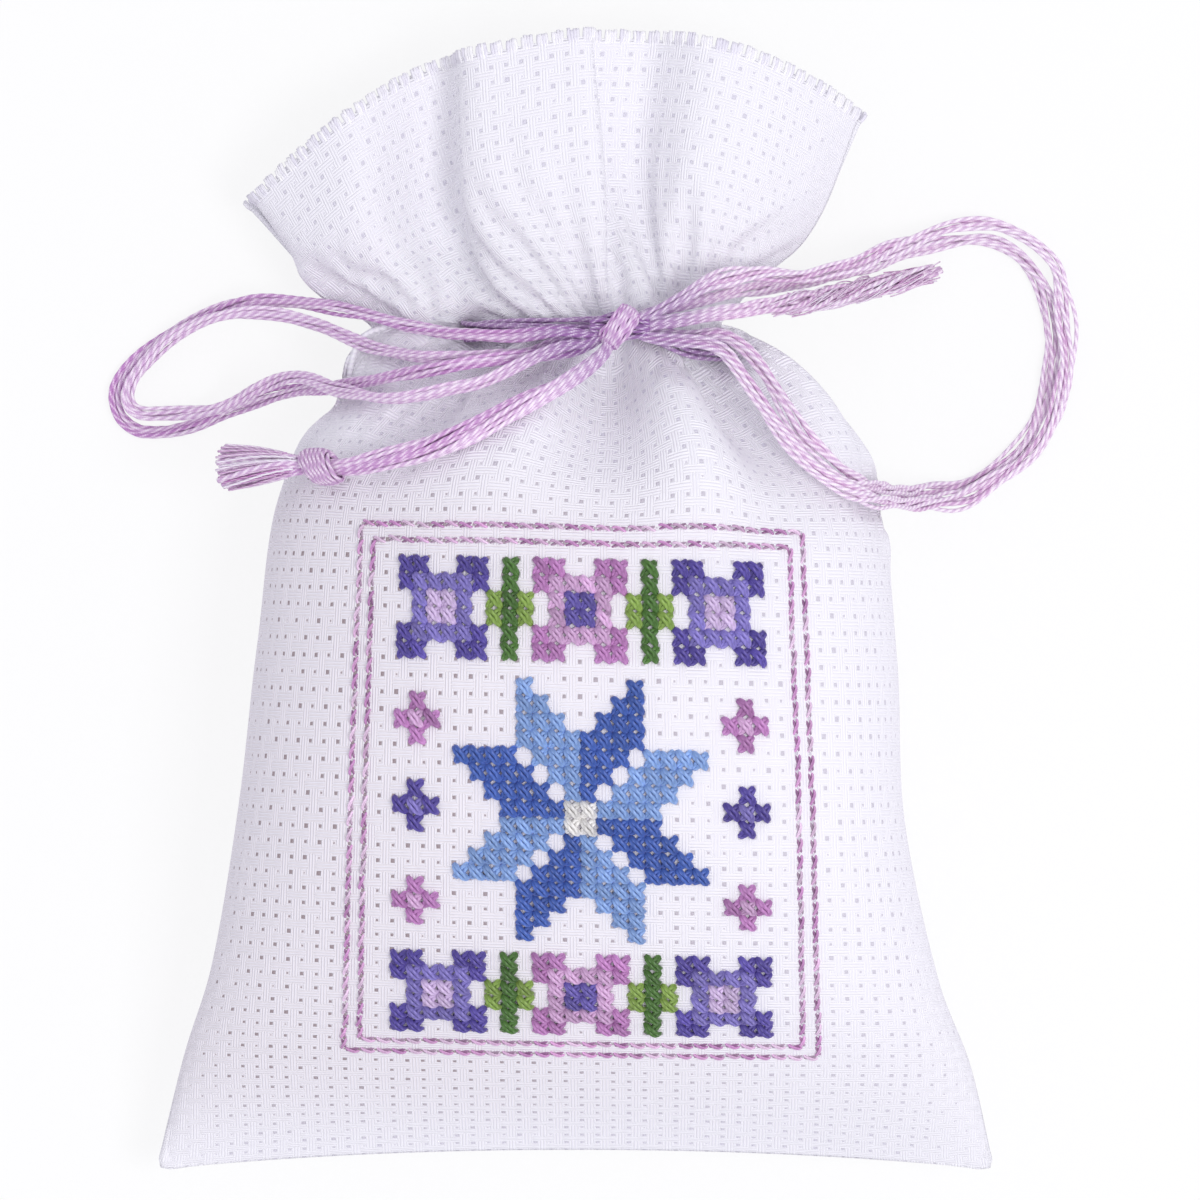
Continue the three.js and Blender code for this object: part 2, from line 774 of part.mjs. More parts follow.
const rightLoopInner = [
  [7.0, 26.4, 23.8],
  [10.3, 26.7, 22.4],
  [13.6, 27.2, 20.2],
  [16.6, 27.7, 17.2],
  [19.7, 28.3, 13.6],
  [23.1, 29.2, 9.9],
  [26.6, 30.3, 6.2],
  [29.4, 31.3, 3.4],
  [31.9, 32.0, 1.6],
  [34.4, 32.7, 0.9],
  [36.5, 33.0, 0.8],
  [38.2, 32.8, 0.8],
  [39.7, 32.1, 0.8],
  [41.4, 30.7, 0.8],
  [42.8, 28.7, 0.8],
  [43.5, 26.4, 0.8],
  [43.8, 24.0, 0.8],
  [43.6, 21.5, 0.8],
  [43.0, 18.4, 0.8],
  [41.7, 15.4, 0.8],
  [39.6, 12.6, 0.9],
  [37.1, 10.9, 1.3],
  [34.3, 10.0, 2.7],
  [31.4, 9.6, 6.6],
  [28.7, 9.6, 13.0],
  [26.0, 10.1, 21.4],
  [23.7, 11.1, 24.9],
  [21.7, 12.8, 25.8],
  [20.1, 14.5, 26.0],
  [18.9, 16.6, 25.8],
  [17.8, 18.7, 25.0],
  [16.6, 20.6, 24.4],
  [15.0, 22.3, 23.9],
  [12.9, 23.4, 23.6],
  [10.0, 22.9, 23.5],
  [7.0, 22.6, 23.8],
];
const leftTail = [
  [2.4, 20.9, 25.2],
  [-0.4, 19.6, 26.4],
  [-4.0, 17.6, 28.0],
  [-8.5, 15.0, 29.4],
  [-13.0, 13.2, 29.4],
  [-17.4, 12.1, 28.2],
  [-20.6, 11.8, 26.6],
];
const rightTail = [
  [7.0, 24.4, 25.4],
  [10.4, 24.9, 25.1],
  [14.4, 25.5, 23.4],
  [18.3, 26.1, 19.5],
  [21.8, 26.8, 14.6],
  [25.2, 27.7, 9.6],
  [29.0, 28.8, 4.8],
  [33.6, 30.1, 1.5],
];
function bundle(points, radius, stepsPerSpan) {
  const curve = new THREE.CatmullRomCurve3(points.map((p) => new THREE.Vector3(...p)));
  return tubeThrough(curve.getPoints((points.length - 1) * stepsPerSpan), radius, 6);
}
add("left_loop_outer", bundle(leftLoopOuter, loopBundleRadius, 1), tieFloss);
add("left_loop_inner", bundle(leftLoopInner, loopBundleRadius, 1), tieFloss);
add("right_loop_outer", bundle(rightLoopOuter, loopBundleRadius, 1), tieFloss);
add("right_loop_inner", bundle(rightLoopInner, loopBundleRadius, 1), tieFloss);
add("left_tail", bundle(leftTail, leftTailRadius, 2), tieFloss);
add("right_tail", bundle(rightTail, rightTailRadius, 2), tieFloss);

// Tie: the knot on the end of the left tail and the brush of cut ends past it
const tailEnd = new THREE.Vector3(...leftTail.at(-1));
const outward = new THREE.Vector3(-1, 0, -brushDroop).normalize();
const tailKnot = add("tail_knot", new THREE.SphereGeometry(1, 12, 8), tieFloss);
tailKnot.scale.set(tailKnotLength / 2, tailKnotRadius, tailKnotRadius);
tailKnot.position.copy(tailEnd).addScaledVector(outward, fitGap + tailKnotLength / 2);
const brush = add("tail_brush", new THREE.CylinderGeometry(brushEnd, brushStart, brushLength, 12), tieFloss);
brush.position.copy(tailKnot.position).addScaledVector(outward, tailKnotLength / 2 + fitGap + brushLength / 2);
brush.quaternion.setFromUnitVectors(new THREE.Vector3(0, 1, 0), outward);

export default sachet;
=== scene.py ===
import bpy
import numpy as np
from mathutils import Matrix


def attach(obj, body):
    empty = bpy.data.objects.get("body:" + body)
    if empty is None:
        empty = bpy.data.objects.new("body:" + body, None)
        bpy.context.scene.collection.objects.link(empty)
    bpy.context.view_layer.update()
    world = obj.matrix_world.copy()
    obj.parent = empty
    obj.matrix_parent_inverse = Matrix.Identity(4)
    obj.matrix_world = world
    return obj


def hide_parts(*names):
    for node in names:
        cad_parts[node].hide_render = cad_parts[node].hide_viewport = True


# Lavender sachet seen from above: a gathered bag of block-woven cotton, cross stitched on the front,
# tied at the neck with a bow of floss. Sizes are in millimetres, except where a note says metres.
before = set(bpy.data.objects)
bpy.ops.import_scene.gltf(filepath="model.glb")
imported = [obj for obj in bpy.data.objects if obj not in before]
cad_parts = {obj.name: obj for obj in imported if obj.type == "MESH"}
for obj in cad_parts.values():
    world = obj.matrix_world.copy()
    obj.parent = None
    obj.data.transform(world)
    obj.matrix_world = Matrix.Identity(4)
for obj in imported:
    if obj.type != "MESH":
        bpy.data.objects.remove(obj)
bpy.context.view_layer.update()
scene = bpy.context.scene
scene.view_settings.view_transform = "Standard"
millimetre = 0.001
tau = 2 * np.pi
chance = np.random.default_rng(11)  # the same draws in every run


def linearColour(code):  # sRGB hex to linear light: ((c + 0.055) / 1.055) ^ 2.4, or c / 12.92 where dark
    c = np.array([int(code[i:i + 2], 16) for i in (1, 3, 5)]) / 255
    return np.where(c > 0.04045, ((c + 0.055) / 1.055) ** 2.4, c / 12.92)


def unit(v):  # each vector over its own length
    return v / np.maximum(np.linalg.norm(v, axis=-1, keepdims=True), 1e-9)


def smooth(t):  # 0 to 1 with level ends
    t = np.clip(t, 0, 1)
    return t * t * (3 - 2 * t)


def lengthAlong(points):  # running length of a line of points
    steps = np.linalg.norm(np.diff(points, axis=-2), axis=-1)
    return np.concatenate([np.zeros_like(steps[..., :1]), np.cumsum(steps, axis=-1)], axis=-1)


def throughPoints(points, t):  # uniform Catmull-Rom through the points at t = 0, 1, 2 and so on
    p = np.concatenate([[2 * points[0] - points[1]], points, [2 * points[-1] - points[-2]]])
    i = np.clip(np.floor(t).astype(int), 0, len(points) - 2)
    w = (t - i).reshape(np.shape(t) + (1,) * (points.ndim - 1))
    a, b, c, d = p[i], p[i + 1], p[i + 2], p[i + 3]
    return b + 0.5 * w * (c - a + w * (2 * a - 5 * b + 4 * c - d + w * (3 * (b - c) + d - a)))


def evenPath(points, step):  # the smooth line through the points, cut into equal lengths
    points = np.array(points, float)
    fine = throughPoints(points, np.linspace(0, len(points) - 1, 40 * len(points)))
    arc = lengthAlong(fine)
    at = np.linspace(0, arc[-1], int(arc[-1] / step) + 1)
    return np.stack([np.interp(at, arc, fine[:, k]) for k in range(3)], -1)


def gridFaces(rows, columns, wrap=False):  # quads of a grid, counted row by row; wrap closes it across
    i, j = np.meshgrid(np.arange(rows - 1), np.arange(columns - (0 if wrap else 1)), indexing="ij")
    k = (j + 1) % columns
    corners = [i * columns + j, i * columns + k, (i + 1) * columns + k, (i + 1) * columns + j]
    return np.stack(corners, -1).reshape(-1, 4)


def makePiece(name, points, faces, material, body, slot, replaced=(), **attributes):
    mesh = bpy.data.meshes.new(name)
    mesh.from_pydata((points.reshape(-1, 3) * millimetre).tolist(), [], faces)
    for label, values in attributes.items():
        kind, field = ("FLOAT", "value") if values.ndim == 1 else ("FLOAT_VECTOR", "vector")
        layer = mesh.attributes.new(label, kind, "POINT")
        layer.data.foreach_set(field, values.astype(np.float32).ravel())
    mesh.shade_smooth()
    mesh.materials.append(material)
    piece = bpy.data.objects.new(name, mesh)
    scene.collection.objects.link(piece)
    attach(piece, body)
    if replaced:
        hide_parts(*replaced)
    return piece


def setInputs(tree, node, inputs):  # links nodes and sockets, sets anything else as a value
    for key, value in inputs.items() if isinstance(inputs, dict) else enumerate(inputs):
        if isinstance(value, bpy.types.Node):
            value = value.outputs[0]
        if isinstance(value, bpy.types.NodeSocket):
            tree.links.new(value, node.inputs[key])
        else:
            node.inputs[key].default_value = value


def addNode(tree, kind, inputs=(), **settings):
    node = tree.nodes.new("ShaderNode" + kind)
    for label, value in settings.items():
        setattr(node, label, value)
    setInputs(tree, node, inputs)
    return node


def newMaterial(name):
    material = bpy.data.materials.new(name)
    material.use_nodes = True
    return material, material.node_tree, material.node_tree.nodes["Principled BSDF"]


def colour(code):
    return (*linearColour(code), 1.0)


# Camera straight above, as the photograph is taken
view = {"place": (2.25, -0.225, 715.0), "lens": 233.3, "sensor": 36}
camera = bpy.data.objects.new("camera", bpy.data.cameras.new("camera"))
camera.location = np.array(view["place"]) * millimetre
camera.data.lens = view["lens"]
camera.data.sensor_width = view["sensor"]
scene.collection.objects.link(camera)
scene.camera = camera


# Mercerised cotton floss: two twisted plies, with a painted highlight, near white, on their crowns and a
# painted shade, deeper in colour, between them
def flossMaterial(name, roughness, sheen, paintedGrooveShade, paintedHighlight):
    material, tree, shader = newMaterial(name)
    tint = addNode(tree, "Attribute", attribute_name="tint")
    crown = addNode(tree, "Attribute", attribute_name="crown").outputs["Fac"]
    level = addNode(tree, "MapRange", (crown, 0.0, 0.8, 0.0, 1.0))
    # painted shade between the plies: the tint times a darker share of itself
    deep = addNode(tree, "VectorMath", (tint.outputs["Vector"], paintedGrooveShade), operation="MULTIPLY")
    shade = addNode(tree, "Mix", {0: level, 6: deep, 7: tint.outputs["Color"]}, data_type="RGBA")
    # painted highlight on the ply crowns, towards near white
    highlightShare = addNode(tree, "MapRange", (crown, 0.58, 1.0, 0.0, paintedHighlight))
    lit = addNode(tree, "Mix", {0: highlightShare, 6: shade.outputs[2], 7: colour("#fbf5fa")}, data_type="RGBA")
    setInputs(tree, shader, {
        "Base Color": lit.outputs[2], "Roughness": roughness, "Specular IOR Level": 0.35,
        "Sheen Weight": sheen, "Sheen Roughness": 0.4, "Sheen Tint": colour("#e6c9e8"),
    })
    return material


tieFloss = flossMaterial("mercerised cotton floss, tie", 0.5, 0.1, (0.64, 0.47, 0.68), 0.8)
stitchFloss = flossMaterial("mercerised cotton floss, stitches", 0.55, 0.2, (0.55, 0.55, 0.55), 0.12)
sewingCotton = flossMaterial("spun sewing cotton", 0.7, 0.1, (0.9, 0.9, 0.9), 0.0)

# The fill angle from strand to strand, in radians, packs a round bundle evenly
floss = {
    "radius": 0.19, "plyRepeat": 1.1, "plyDepth": 0.1, "step": 0.2, "sides": 8, "fillAngle": 2.4,
    "waveAcross": 26, "waveUp": 22, "waveUpShare": 0.4,
}


# A twisted strand round each path: r (1 + depth cos(2 angle - tau s / repeat)) about the path's own frame
def strandSurface(paths, radius, upward, sides):
    along = unit(np.gradient(paths, axis=1))
    across = unit(np.cross(along, upward))
    up = np.cross(across, along)
    s = lengthAlong(paths)[..., None]
    angle = np.arange(sides) * tau / sides
    wave = np.cos(2 * angle - tau * s / floss["plyRepeat"])
    r = (radius * (1 + floss["plyDepth"] * wave))[..., None]
    ring = np.cos(angle)[:, None] * across[:, :, None] + np.sin(angle)[:, None] * up[:, :, None]
    points = paths[:, :, None] + r * ring
    count, stops = paths.shape[:2]
    first = np.arange(count)[:, None] * stops * sides
    quads = (gridFaces(stops, sides, True)[None, :, ::-1] + first[..., None]).reshape(-1, 4)
    starts = first + np.arange(sides)
    ends = first + (stops - 1) * sides + np.arange(sides)[::-1]
    return points, quads.tolist() + starts.tolist() + ends.tolist(), (0.5 + 0.5 * wave)


def makeStrands(name, paths, tints, radius, upward, material, body, slot, replaced=(), sides=floss["sides"]):
    points, faces, crown = strandSurface(paths, radius, upward, sides)
    tint = np.broadcast_to(tints.reshape(len(tints), -1, 1, 3), points.shape).reshape(-1, 3)
    return makePiece(name, points, faces, material, body, slot, replaced, crown=crown.ravel(), tint=tint)


def strandTints(codes, count, spread):  # each strand between two colours, at random
    low, high = (linearColour(code) for code in codes)
    return low + (high - low) * (0.5 + spread * (chance.random((count, 1)) - 0.5) * 2)


# Slow waves of their own for each strand: the mean of three sines of random phase
def wander(count, s, wavelength):
    phase = chance.random((count, 3, 1)) * tau
    pace = np.array([1.0, 1.7, 2.9])[:, None] / wavelength
    return np.sin(tau * pace * s + phase).mean(axis=1)


# Strand k of a bundle at length s: path + w rho_k (across cos a + flat up sin a); a turns slowly along it
def bundlePaths(path, count, width, flat, turn, looseness):
    along = unit(np.gradient(path, axis=0))
    across = unit(np.cross(along, [0, 0, 1]))
    up = np.cross(across, along)
    s = lengthAlong(path)
    k = np.arange(count)[:, None]
    rho = np.sqrt((k + 0.6) / count)
    a = k * floss["fillAngle"] + tau * s / turn
    loose = looseness * np.sin(np.pi * s / s[-1]) ** 0.5
    side = width * rho * np.cos(a) + loose * wander(count, s, floss["waveAcross"])
    rise = width * flat * rho * np.sin(a) + floss["waveUpShare"] * loose * wander(count, s, floss["waveUp"])
    return path + side[..., None] * across + rise[..., None] * up


# Tie: loops and tails along the same points as their solids. Shares are lengths and the shares of the width
# there. A fade is where the painted shade beside the knot starts to pale, and its length. Diameters are
# metres
tie = {
    "loopStrands": 7, "loopTurn": 48, "loopShares": ((0, 4, 9, 15), (0.6, 0.75, 0.95, 1)), "loopFade": (2, 9),
    "loopDiameter": 0.0014, "tintSpread": 0.8, "knotShadeColour": "#9468a8", "drawnIn": 0.62, "drawnFrom": 5.5,
}
# deep: how far each side's floss goes towards the painted shade colour beside the knot
leftSide = {
    "colours": ("#dfb7df", "#f7e4f5"), "deep": 0.75,
    "width": 0.52, "flat": 0.75, "loose": 0.2, "gather": (22.3, 24.9),
}
rightSide = {
    "colours": ("#ebcfe6", "#fcf1f9"), "deep": 0.6,
    "width": 0.62, "flat": 0.6, "loose": 0.45, "gather": (24.1, 25.3),
}
pivot = np.array([4.0, 24.0, 25.4])
leftLoopOuter = [
    [1.0, 24.3, 25.4], [-1.4, 24.0, 24.9], [-5.4, 23.3, 22.9], [-9.0, 23.5, 21.2], [-12.1, 23.8, 19.4],
    [-15.4, 24.5, 16.6], [-19.2, 25.7, 12.6], [-22.5, 26.4, 9.6], [-26.3, 26.9, 6.6], [-29.9, 26.9, 4.4],
    [-33.1, 26.1, 2.6], [-36.3, 24.8, 1.5], [-38.9, 23.0, 0.9], [-40.8, 21.3, 0.8], [-41.9, 19.9, 0.8],
    [-42.3, 18.8, 0.8], [-42.2, 17.6, 0.8], [-41.6, 16.3, 0.8], [-40.3, 15.3, 0.8], [-38.9, 15.1, 0.8],
    [-37.0, 15.3, 0.9], [-34.5, 15.9, 1.4], [-31.5, 17.1, 2.7], [-28.6, 18.1, 5.0], [-25.6, 18.7, 8.2],
    [-22.7, 19.0, 12.0], [-19.1, 19.4, 17.2], [-15.9, 19.8, 21.0], [-12.2, 20.4, 23.2], [-8.5, 21.0, 23.6],
    [-1.4, 21.4, 23.6], [1.0, 22.1, 23.7],
]
leftLoopInner = [
    [1.0, 23.7, 23.8], [-1.4, 22.9, 22.9], [-4.2, 21.7, 22.0], [-7.0, 21.6, 21.8], [-10.0, 21.5, 21.6],
    [-13.5, 21.5, 20.4], [-16.6, 22.1, 17.2], [-19.8, 23.2, 13.4], [-23.0, 24.6, 10.6], [-26.3, 25.5, 8.0],
    [-29.5, 25.9, 6.3], [-32.7, 25.7, 4.6], [-35.5, 24.6, 3.3], [-37.7, 23.3, 2.6], [-39.4, 21.7, 2.2],
    [-40.5, 20.2, 2.2], [-41.0, 19.0, 2.2], [-41.0, 17.9, 2.2], [-40.4, 17.1, 2.2], [-39.1, 16.7, 2.3],
    [-36.0, 16.8, 2.6], [-33.1, 17.2, 4.0], [-30.8, 17.9, 5.6], [-29.1, 18.8, 7.2], [-27.5, 19.6, 8.6],
    [-26.0, 19.9, 10.6], [-24.2, 19.7, 12.8], [-21.6, 18.8, 16.6], [-19.0, 18.1, 20.6], [-16.6, 17.8, 23.2],
    [-14.0, 17.9, 24.8], [-10.9, 18.5, 25.4], [-7.8, 19.3, 25.4], [-1.4, 22.0, 25.3], [1.0, 22.7, 25.4],
]
rightLoopOuter = [
    [7.0, 26.3, 25.7], [9.3, 27.3, 24.9], [12.3, 28.4, 23.2], [15.3, 28.8, 20.6], [18.4, 28.9, 17.4],
    [21.5, 29.1, 13.9], [24.6, 30.0, 10.6], [27.7, 31.3, 7.4], [30.9, 32.7, 4.7], [33.7, 33.8, 2.9],
    [36.8, 34.2, 2.2], [39.2, 33.9, 2.1], [41.4, 33.0, 2.1], [43.0, 31.6, 2.1], [44.1, 29.9, 2.1],
    [44.7, 27.3, 2.1], [45.0, 23.6, 2.1], [44.8, 20.2, 2.1], [44.0, 16.7, 2.1], [42.4, 14.1, 2.1],
    [40.4, 12.1, 2.1], [38.3, 10.5, 2.8], [35.8, 9.2, 4.0], [32.9, 8.6, 7.2], [29.9, 8.5, 13.2],
    [27.2, 8.7, 20.8], [24.7, 9.3, 25.4], [22.6, 10.5, 26.9], [20.8, 11.9, 27.1], [19.2, 13.6, 26.9],
    [17.6, 15.7, 26.6], [16.0, 18.1, 26.1], [14.5, 20.2, 25.8], [13.0, 21.8, 25.6], [10.8, 22.5, 25.5],
    [7.0, 22.2, 25.6],
]
rightLoopInner = [
    [7.0, 26.4, 23.8], [10.3, 26.7, 22.4], [13.6, 27.2, 20.2], [16.6, 27.7, 17.2], [19.7, 28.3, 13.6],
    [23.1, 29.2, 9.9], [26.6, 30.3, 6.2], [29.4, 31.3, 3.4], [31.9, 32.0, 1.6], [34.4, 32.7, 0.9],
    [36.5, 33.0, 0.8], [38.2, 32.8, 0.8], [39.7, 32.1, 0.8], [41.4, 30.7, 0.8], [42.8, 28.7, 0.8],
    [43.5, 26.4, 0.8], [43.8, 24.0, 0.8], [43.6, 21.5, 0.8], [43.0, 18.4, 0.8], [41.7, 15.4, 0.8],
    [39.6, 12.6, 0.9], [37.1, 10.9, 1.3], [34.3, 10.0, 2.7], [31.4, 9.6, 6.6], [28.7, 9.6, 13.0],
    [26.0, 10.1, 21.4], [23.7, 11.1, 24.9], [21.7, 12.8, 25.8], [20.1, 14.5, 26.0], [18.9, 16.6, 25.8],
    [17.8, 18.7, 25.0], [16.6, 20.6, 24.4], [15.0, 22.3, 23.9], [12.9, 23.4, 23.6], [10.0, 22.9, 23.5],
    [7.0, 22.6, 23.8],
]
leftTail = [
    [3.1, 22.6, 25.8], [2.2, 21.3, 26.6], [-0.4, 19.3, 27.0], [-4.0, 17.3, 28.0], [-8.5, 14.9, 29.3],
    [-13.0, 13.1, 29.4], [-17.4, 12.0, 28.2], [-20.6, 11.5, 26.6], [-24.2, 11.7, 24.8], [-27.8, 11.7, 23.0],
    [-31.3, 11.6, 21.2],
]
rightTail = [
    [7.0, 24.4, 25.4], [10.4, 24.9, 25.1], [14.4, 25.5, 23.4], [18.3, 26.1, 19.5], [21.8, 26.8, 14.6],
    [25.2, 27.7, 9.6], [29.0, 28.8, 4.8], [33.6, 30.1, 1.5],
]


def intoKnot(points, gather, ends):  # tied ends are drawn in beside the knot and go half way to its middle
    points = np.array(points, float)
    near = np.exp(-((points[:, :1] - pivot[0]) / tie["drawnFrom"]) ** 2)
    points[:, 1:] += tie["drawnIn"] * near * (np.array(gather) - points[:, 1:])
    inner = pivot + 0.5 * (points[[0, -1]] - pivot)
    return np.concatenate([inner[:1], points, inner[1:][:ends - 1]])


def atStops(paths, at):  # points of each strand at stops that may lie between its own
    i = np.minimum(at.astype(int), paths.shape[1] - 2)
    k = np.arange(len(paths))[:, None]
    return paths[k, i] + (at - i)[..., None] * (paths[k, i + 1] - paths[k, i])


def cutShort(paths, most):  # each strand ends by itself, at most that far before the path's end
    last = paths.shape[1] - 1 - np.linspace(0, most, len(paths))[:, None] / floss["step"]
    return atStops(paths, last * np.linspace(0, 1, paths.shape[1]))


def shadedByKnot(tints, share):  # the given share of the way to the colour of floss in the shade of the knot
    return tints + share * (linearColour(tie["knotShadeColour"]) - tints)


def fading(s, fade):  # 1 as far as the fade's start, then down to 0 over its length
    return (1 - smooth((s - fade[0]) / fade[1]))[:, None]


def makeTie(name, paths, tints, body, replaced=(), radius=floss["radius"], upward=(0, 0, 1),
            sides=floss["sides"]):
    return makeStrands(name, paths, tints, radius, upward, tieFloss, body, "tie_floss", replaced, sides)


cordLines = []


def layCord(piece, path):
    cordLines.append(path)


def makeLoop(name, body, points, side):  # narrower towards the knot, which squeezes it, and painted deeper in colour there as the knot's shade
    path = evenPath(intoKnot(points, side["gather"], 2), floss["step"])
    s = lengthAlong(path)
    far = np.minimum(s, s[-1] - s)
    width = side["width"] * np.interp(far, *tie["loopShares"])
    paths = bundlePaths(path, tie["loopStrands"], width, side["flat"], tie["loopTurn"], side["loose"])
    tints = strandTints(side["colours"], tie["loopStrands"], tie["tintSpread"])[:, None]
    tints = shadedByKnot(tints, side["deep"] * fading(far, tie["loopFade"]))
    layCord(makeTie(name + "_floss", paths, tints, body, [name]), path)


makeLoop("left_loop_outer", "left_loop", leftLoopOuter, leftSide)
makeLoop("left_loop_inner", "left_loop", leftLoopInner, leftSide)
makeLoop("right_loop_outer", "right_loop", rightLoopOuter, rightSide)
makeLoop("right_loop_inner", "right_loop", rightLoopInner, rightSide)


# Loose fibres round a cord: each is a piece of a thin strand of its own, between two stops of the path
def makeFibres(name, path, width, fray, first, last, body, replaced=()):
    loosened = bundlePaths(path, fray["fibres"], width, fray["flat"], fray["turn"], fray["loose"])
    paths = atStops(loosened, first + (last - first) * np.linspace(0, 1, fray["stops"]))
    tints = strandTints(fray["colours"], fray["fibres"], 1)
    return makeTie(name, paths, tints, body, replaced, fray["radius"], sides=4)


# The right tail ends in cut strands of unlike length, frayed; its own length is that of the shortest one
rightEnd = {
    "strands": 12, "width": 0.6, "shares": ((0, 0.3, 0.6, 1), (0.9, 1.0, 1.45, 1.3)), "flat": 0.6, "turn": 40,
    "loose": 0.35, "uneven": 2.6, "fade": (2, 8), "diameter": 0.0016,
}
frayed = {
    "fibres": 190, "from": 0.38, "length": 4.5, "stops": 14, "radius": 0.06, "width": 1.05, "flat": 0.7,
    "turn": 24, "loose": 0.3, "colours": ("#e6c4e0", "#faf0f8"),
}
path = evenPath(intoKnot(rightTail, rightSide["gather"], 1), floss["step"])
s = lengthAlong(path)
width = rightEnd["width"] * np.interp(s / s[-1], *rightEnd["shares"])
paths = bundlePaths(path, rightEnd["strands"], width, rightEnd["flat"], rightEnd["turn"], rightEnd["loose"])
paths = cutShort(paths, rightEnd["uneven"])
tints = strandTints(rightSide["colours"], rightEnd["strands"], tie["tintSpread"])[:, None]
# painted shade beside the knot, fading along the tail
tints = shadedByKnot(tints, rightSide["deep"] * fading(s, rightEnd["fade"]))
rightPiece = makeTie("right_tail_floss", paths, tints, "right_tail", ["right_tail"])
fibreStops = frayed["length"] / floss["step"]
lastStop = len(path) - 1 - fibreStops
first = lastStop * (frayed["from"] + (1 - frayed["from"]) * chance.random((frayed["fibres"], 1)))
last = first + fibreStops
frayedPiece = makeFibres("right_tail_frayed", path, frayed["width"], frayed, first, last, "right_tail")
path = path[:len(path) - int(rightEnd["uneven"] / floss["step"])]
layCord(rightPiece, path)

# The left tail runs through its knot and flares into a brush; its shares go by the length left to the cut end
leftEnd = {
    "strands": 18, "width": 0.8, "flat": 0.75, "turn": 46, "loose": 0.16, "deep": 0.5, "fade": (1, 8),
    "shares": ((0, 3, 7.5, 10, 13, 22, 30, 35, 39), (2.4, 1.95, 1, 0.75, 0.85, 1.3, 1.1, 0.9, 0.5)),
    "fullness": ((0, 2, 7), (1.3, 1.25, 1.05)), "endColour": "#f0dff0", "pale": 0.75, "paleOver": (9, 7),
    "diameter": 0.002,
}
brush = {
    "fibres": 90, "longest": 8.6, "shortest": 5.5, "uneven": 0.5, "stops": 24, "radius": 0.11, "wider": 1.12,
    "flat": 0.8, "turn": 70, "loose": 0.2, "colours": ("#e2bfde", "#fdf6fc"),
}
path = evenPath(leftTail, floss["step"])
s = lengthAlong(path)
left = s[-1] - s
width = leftEnd["width"] * np.interp(left, *leftEnd["shares"])
fullness = floss["radius"] * np.interp(left, *leftEnd["fullness"])[:, None]
pale = leftEnd["pale"] * smooth((leftEnd["paleOver"][0] - left) / leftEnd["paleOver"][1])[:, None]
paths = bundlePaths(path, leftEnd["strands"], width, leftEnd["flat"], leftEnd["turn"], leftEnd["loose"])
tints = strandTints(leftSide["colours"], leftEnd["strands"], tie["tintSpread"])[:, None]
tints = tints + pale * (linearColour(leftEnd["endColour"]) - tints)
# painted shade where the tail leaves the knot, fading along it
tints = shadedByKnot(tints, leftEnd["deep"] * fading(s, leftEnd["fade"]))
leftPiece = makeTie("left_tail_floss", paths, tints, "left_tail", ["left_tail"], fullness)
lengths = brush["shortest"] + (brush["longest"] - brush["shortest"]) * chance.random((brush["fibres"], 1))
first = len(path) - 1 - lengths / floss["step"]
last = len(path) - 1 - brush["uneven"] * chance.random((brush["fibres"], 1)) / floss["step"]
width = width * brush["wider"]
brushPiece = makeFibres("tail_brush_fibres", path, width, brush, first, last, "left_tail", ["tail_brush"])

# Knot of the left tail: one strand in steep leaning turns on a barrel, r(x) = r0 (1 - taper x^4)
tailKnot = {
    "centre": (-22.4, 11.6, 25.7), "axis": (-1.0, 0.0, -0.5), "length": 3.1, "radius": 1.5, "taper": 0.4,
    "turns": 8, "turnStops": 40, "lean": 0.42, "strand": 0.2, "shade": 0.88,
}
axis = unit(np.array(tailKnot["axis"]))
sideways = np.array([0.0, 1.0, 0.0])
upright = np.cross(axis, sideways)
turn = np.linspace(0, 1, tailKnot["turns"] * tailKnot["turnStops"])
a = tau * tailKnot["turns"] * turn
x = 2 * turn - 1
r = tailKnot["radius"] * (1 - tailKnot["taper"] * x ** 4)
reach = x * tailKnot["length"] / 2 + tailKnot["lean"] * tailKnot["radius"] * np.sin(a)
turns = tailKnot["centre"] + reach[:, None] * axis + (r * np.sin(a))[:, None] * sideways
turns = turns + (r * np.cos(a))[:, None] * upright
tints = strandTints(leftSide["colours"], 1, 0) * tailKnot["shade"]
strand = tailKnot["strand"]
knotPiece = makeTie("tail_knot_turns", turns[None], tints, "left_tail", ["tail_knot"], strand, axis)
layCord(leftPiece, path)
print("tie: loops and tails laid")

# Wrap round the neck: a ring of strands on the ellipse of its solid, crossing slowly as they go round;
# past slopeFrom its right end slopes down under the loop
wrap = {
    "centre": (2.0, 24.0, 13.0), "halfWidth": 11.8, "halfHeight": 8.8, "strands": 9, "bundle": 0.78,
    "spread": 1.25, "slope": 1.7, "slopeFrom": 3, "slopeOver": 6, "deep": 0.7, "stops": 260,
}
a = np.linspace(0, tau, wrap["stops"])
k = np.arange(wrap["strands"])[:, None]
turnAngle = k * floss["fillAngle"] + a
rho = wrap["bundle"] * np.sqrt((k + 0.6) / wrap["strands"])
out = rho * np.cos(turnAngle)
wrapX = (wrap["halfWidth"] + out) * np.cos(a)
wrapZ = (wrap["halfHeight"] + out) * np.sin(a)
rightwards = smooth((wrap["halfWidth"] * np.cos(a) - wrap["slopeFrom"]) / wrap["slopeOver"])
falling = -wrap["slope"] * rightwards * smooth(2 * np.sin(a) + 1.0)
wrapY = falling + wrap["spread"] * rho * np.sin(turnAngle)
paths = np.array(wrap["centre"]) + np.stack([wrapX, wrapY, wrapZ], -1)
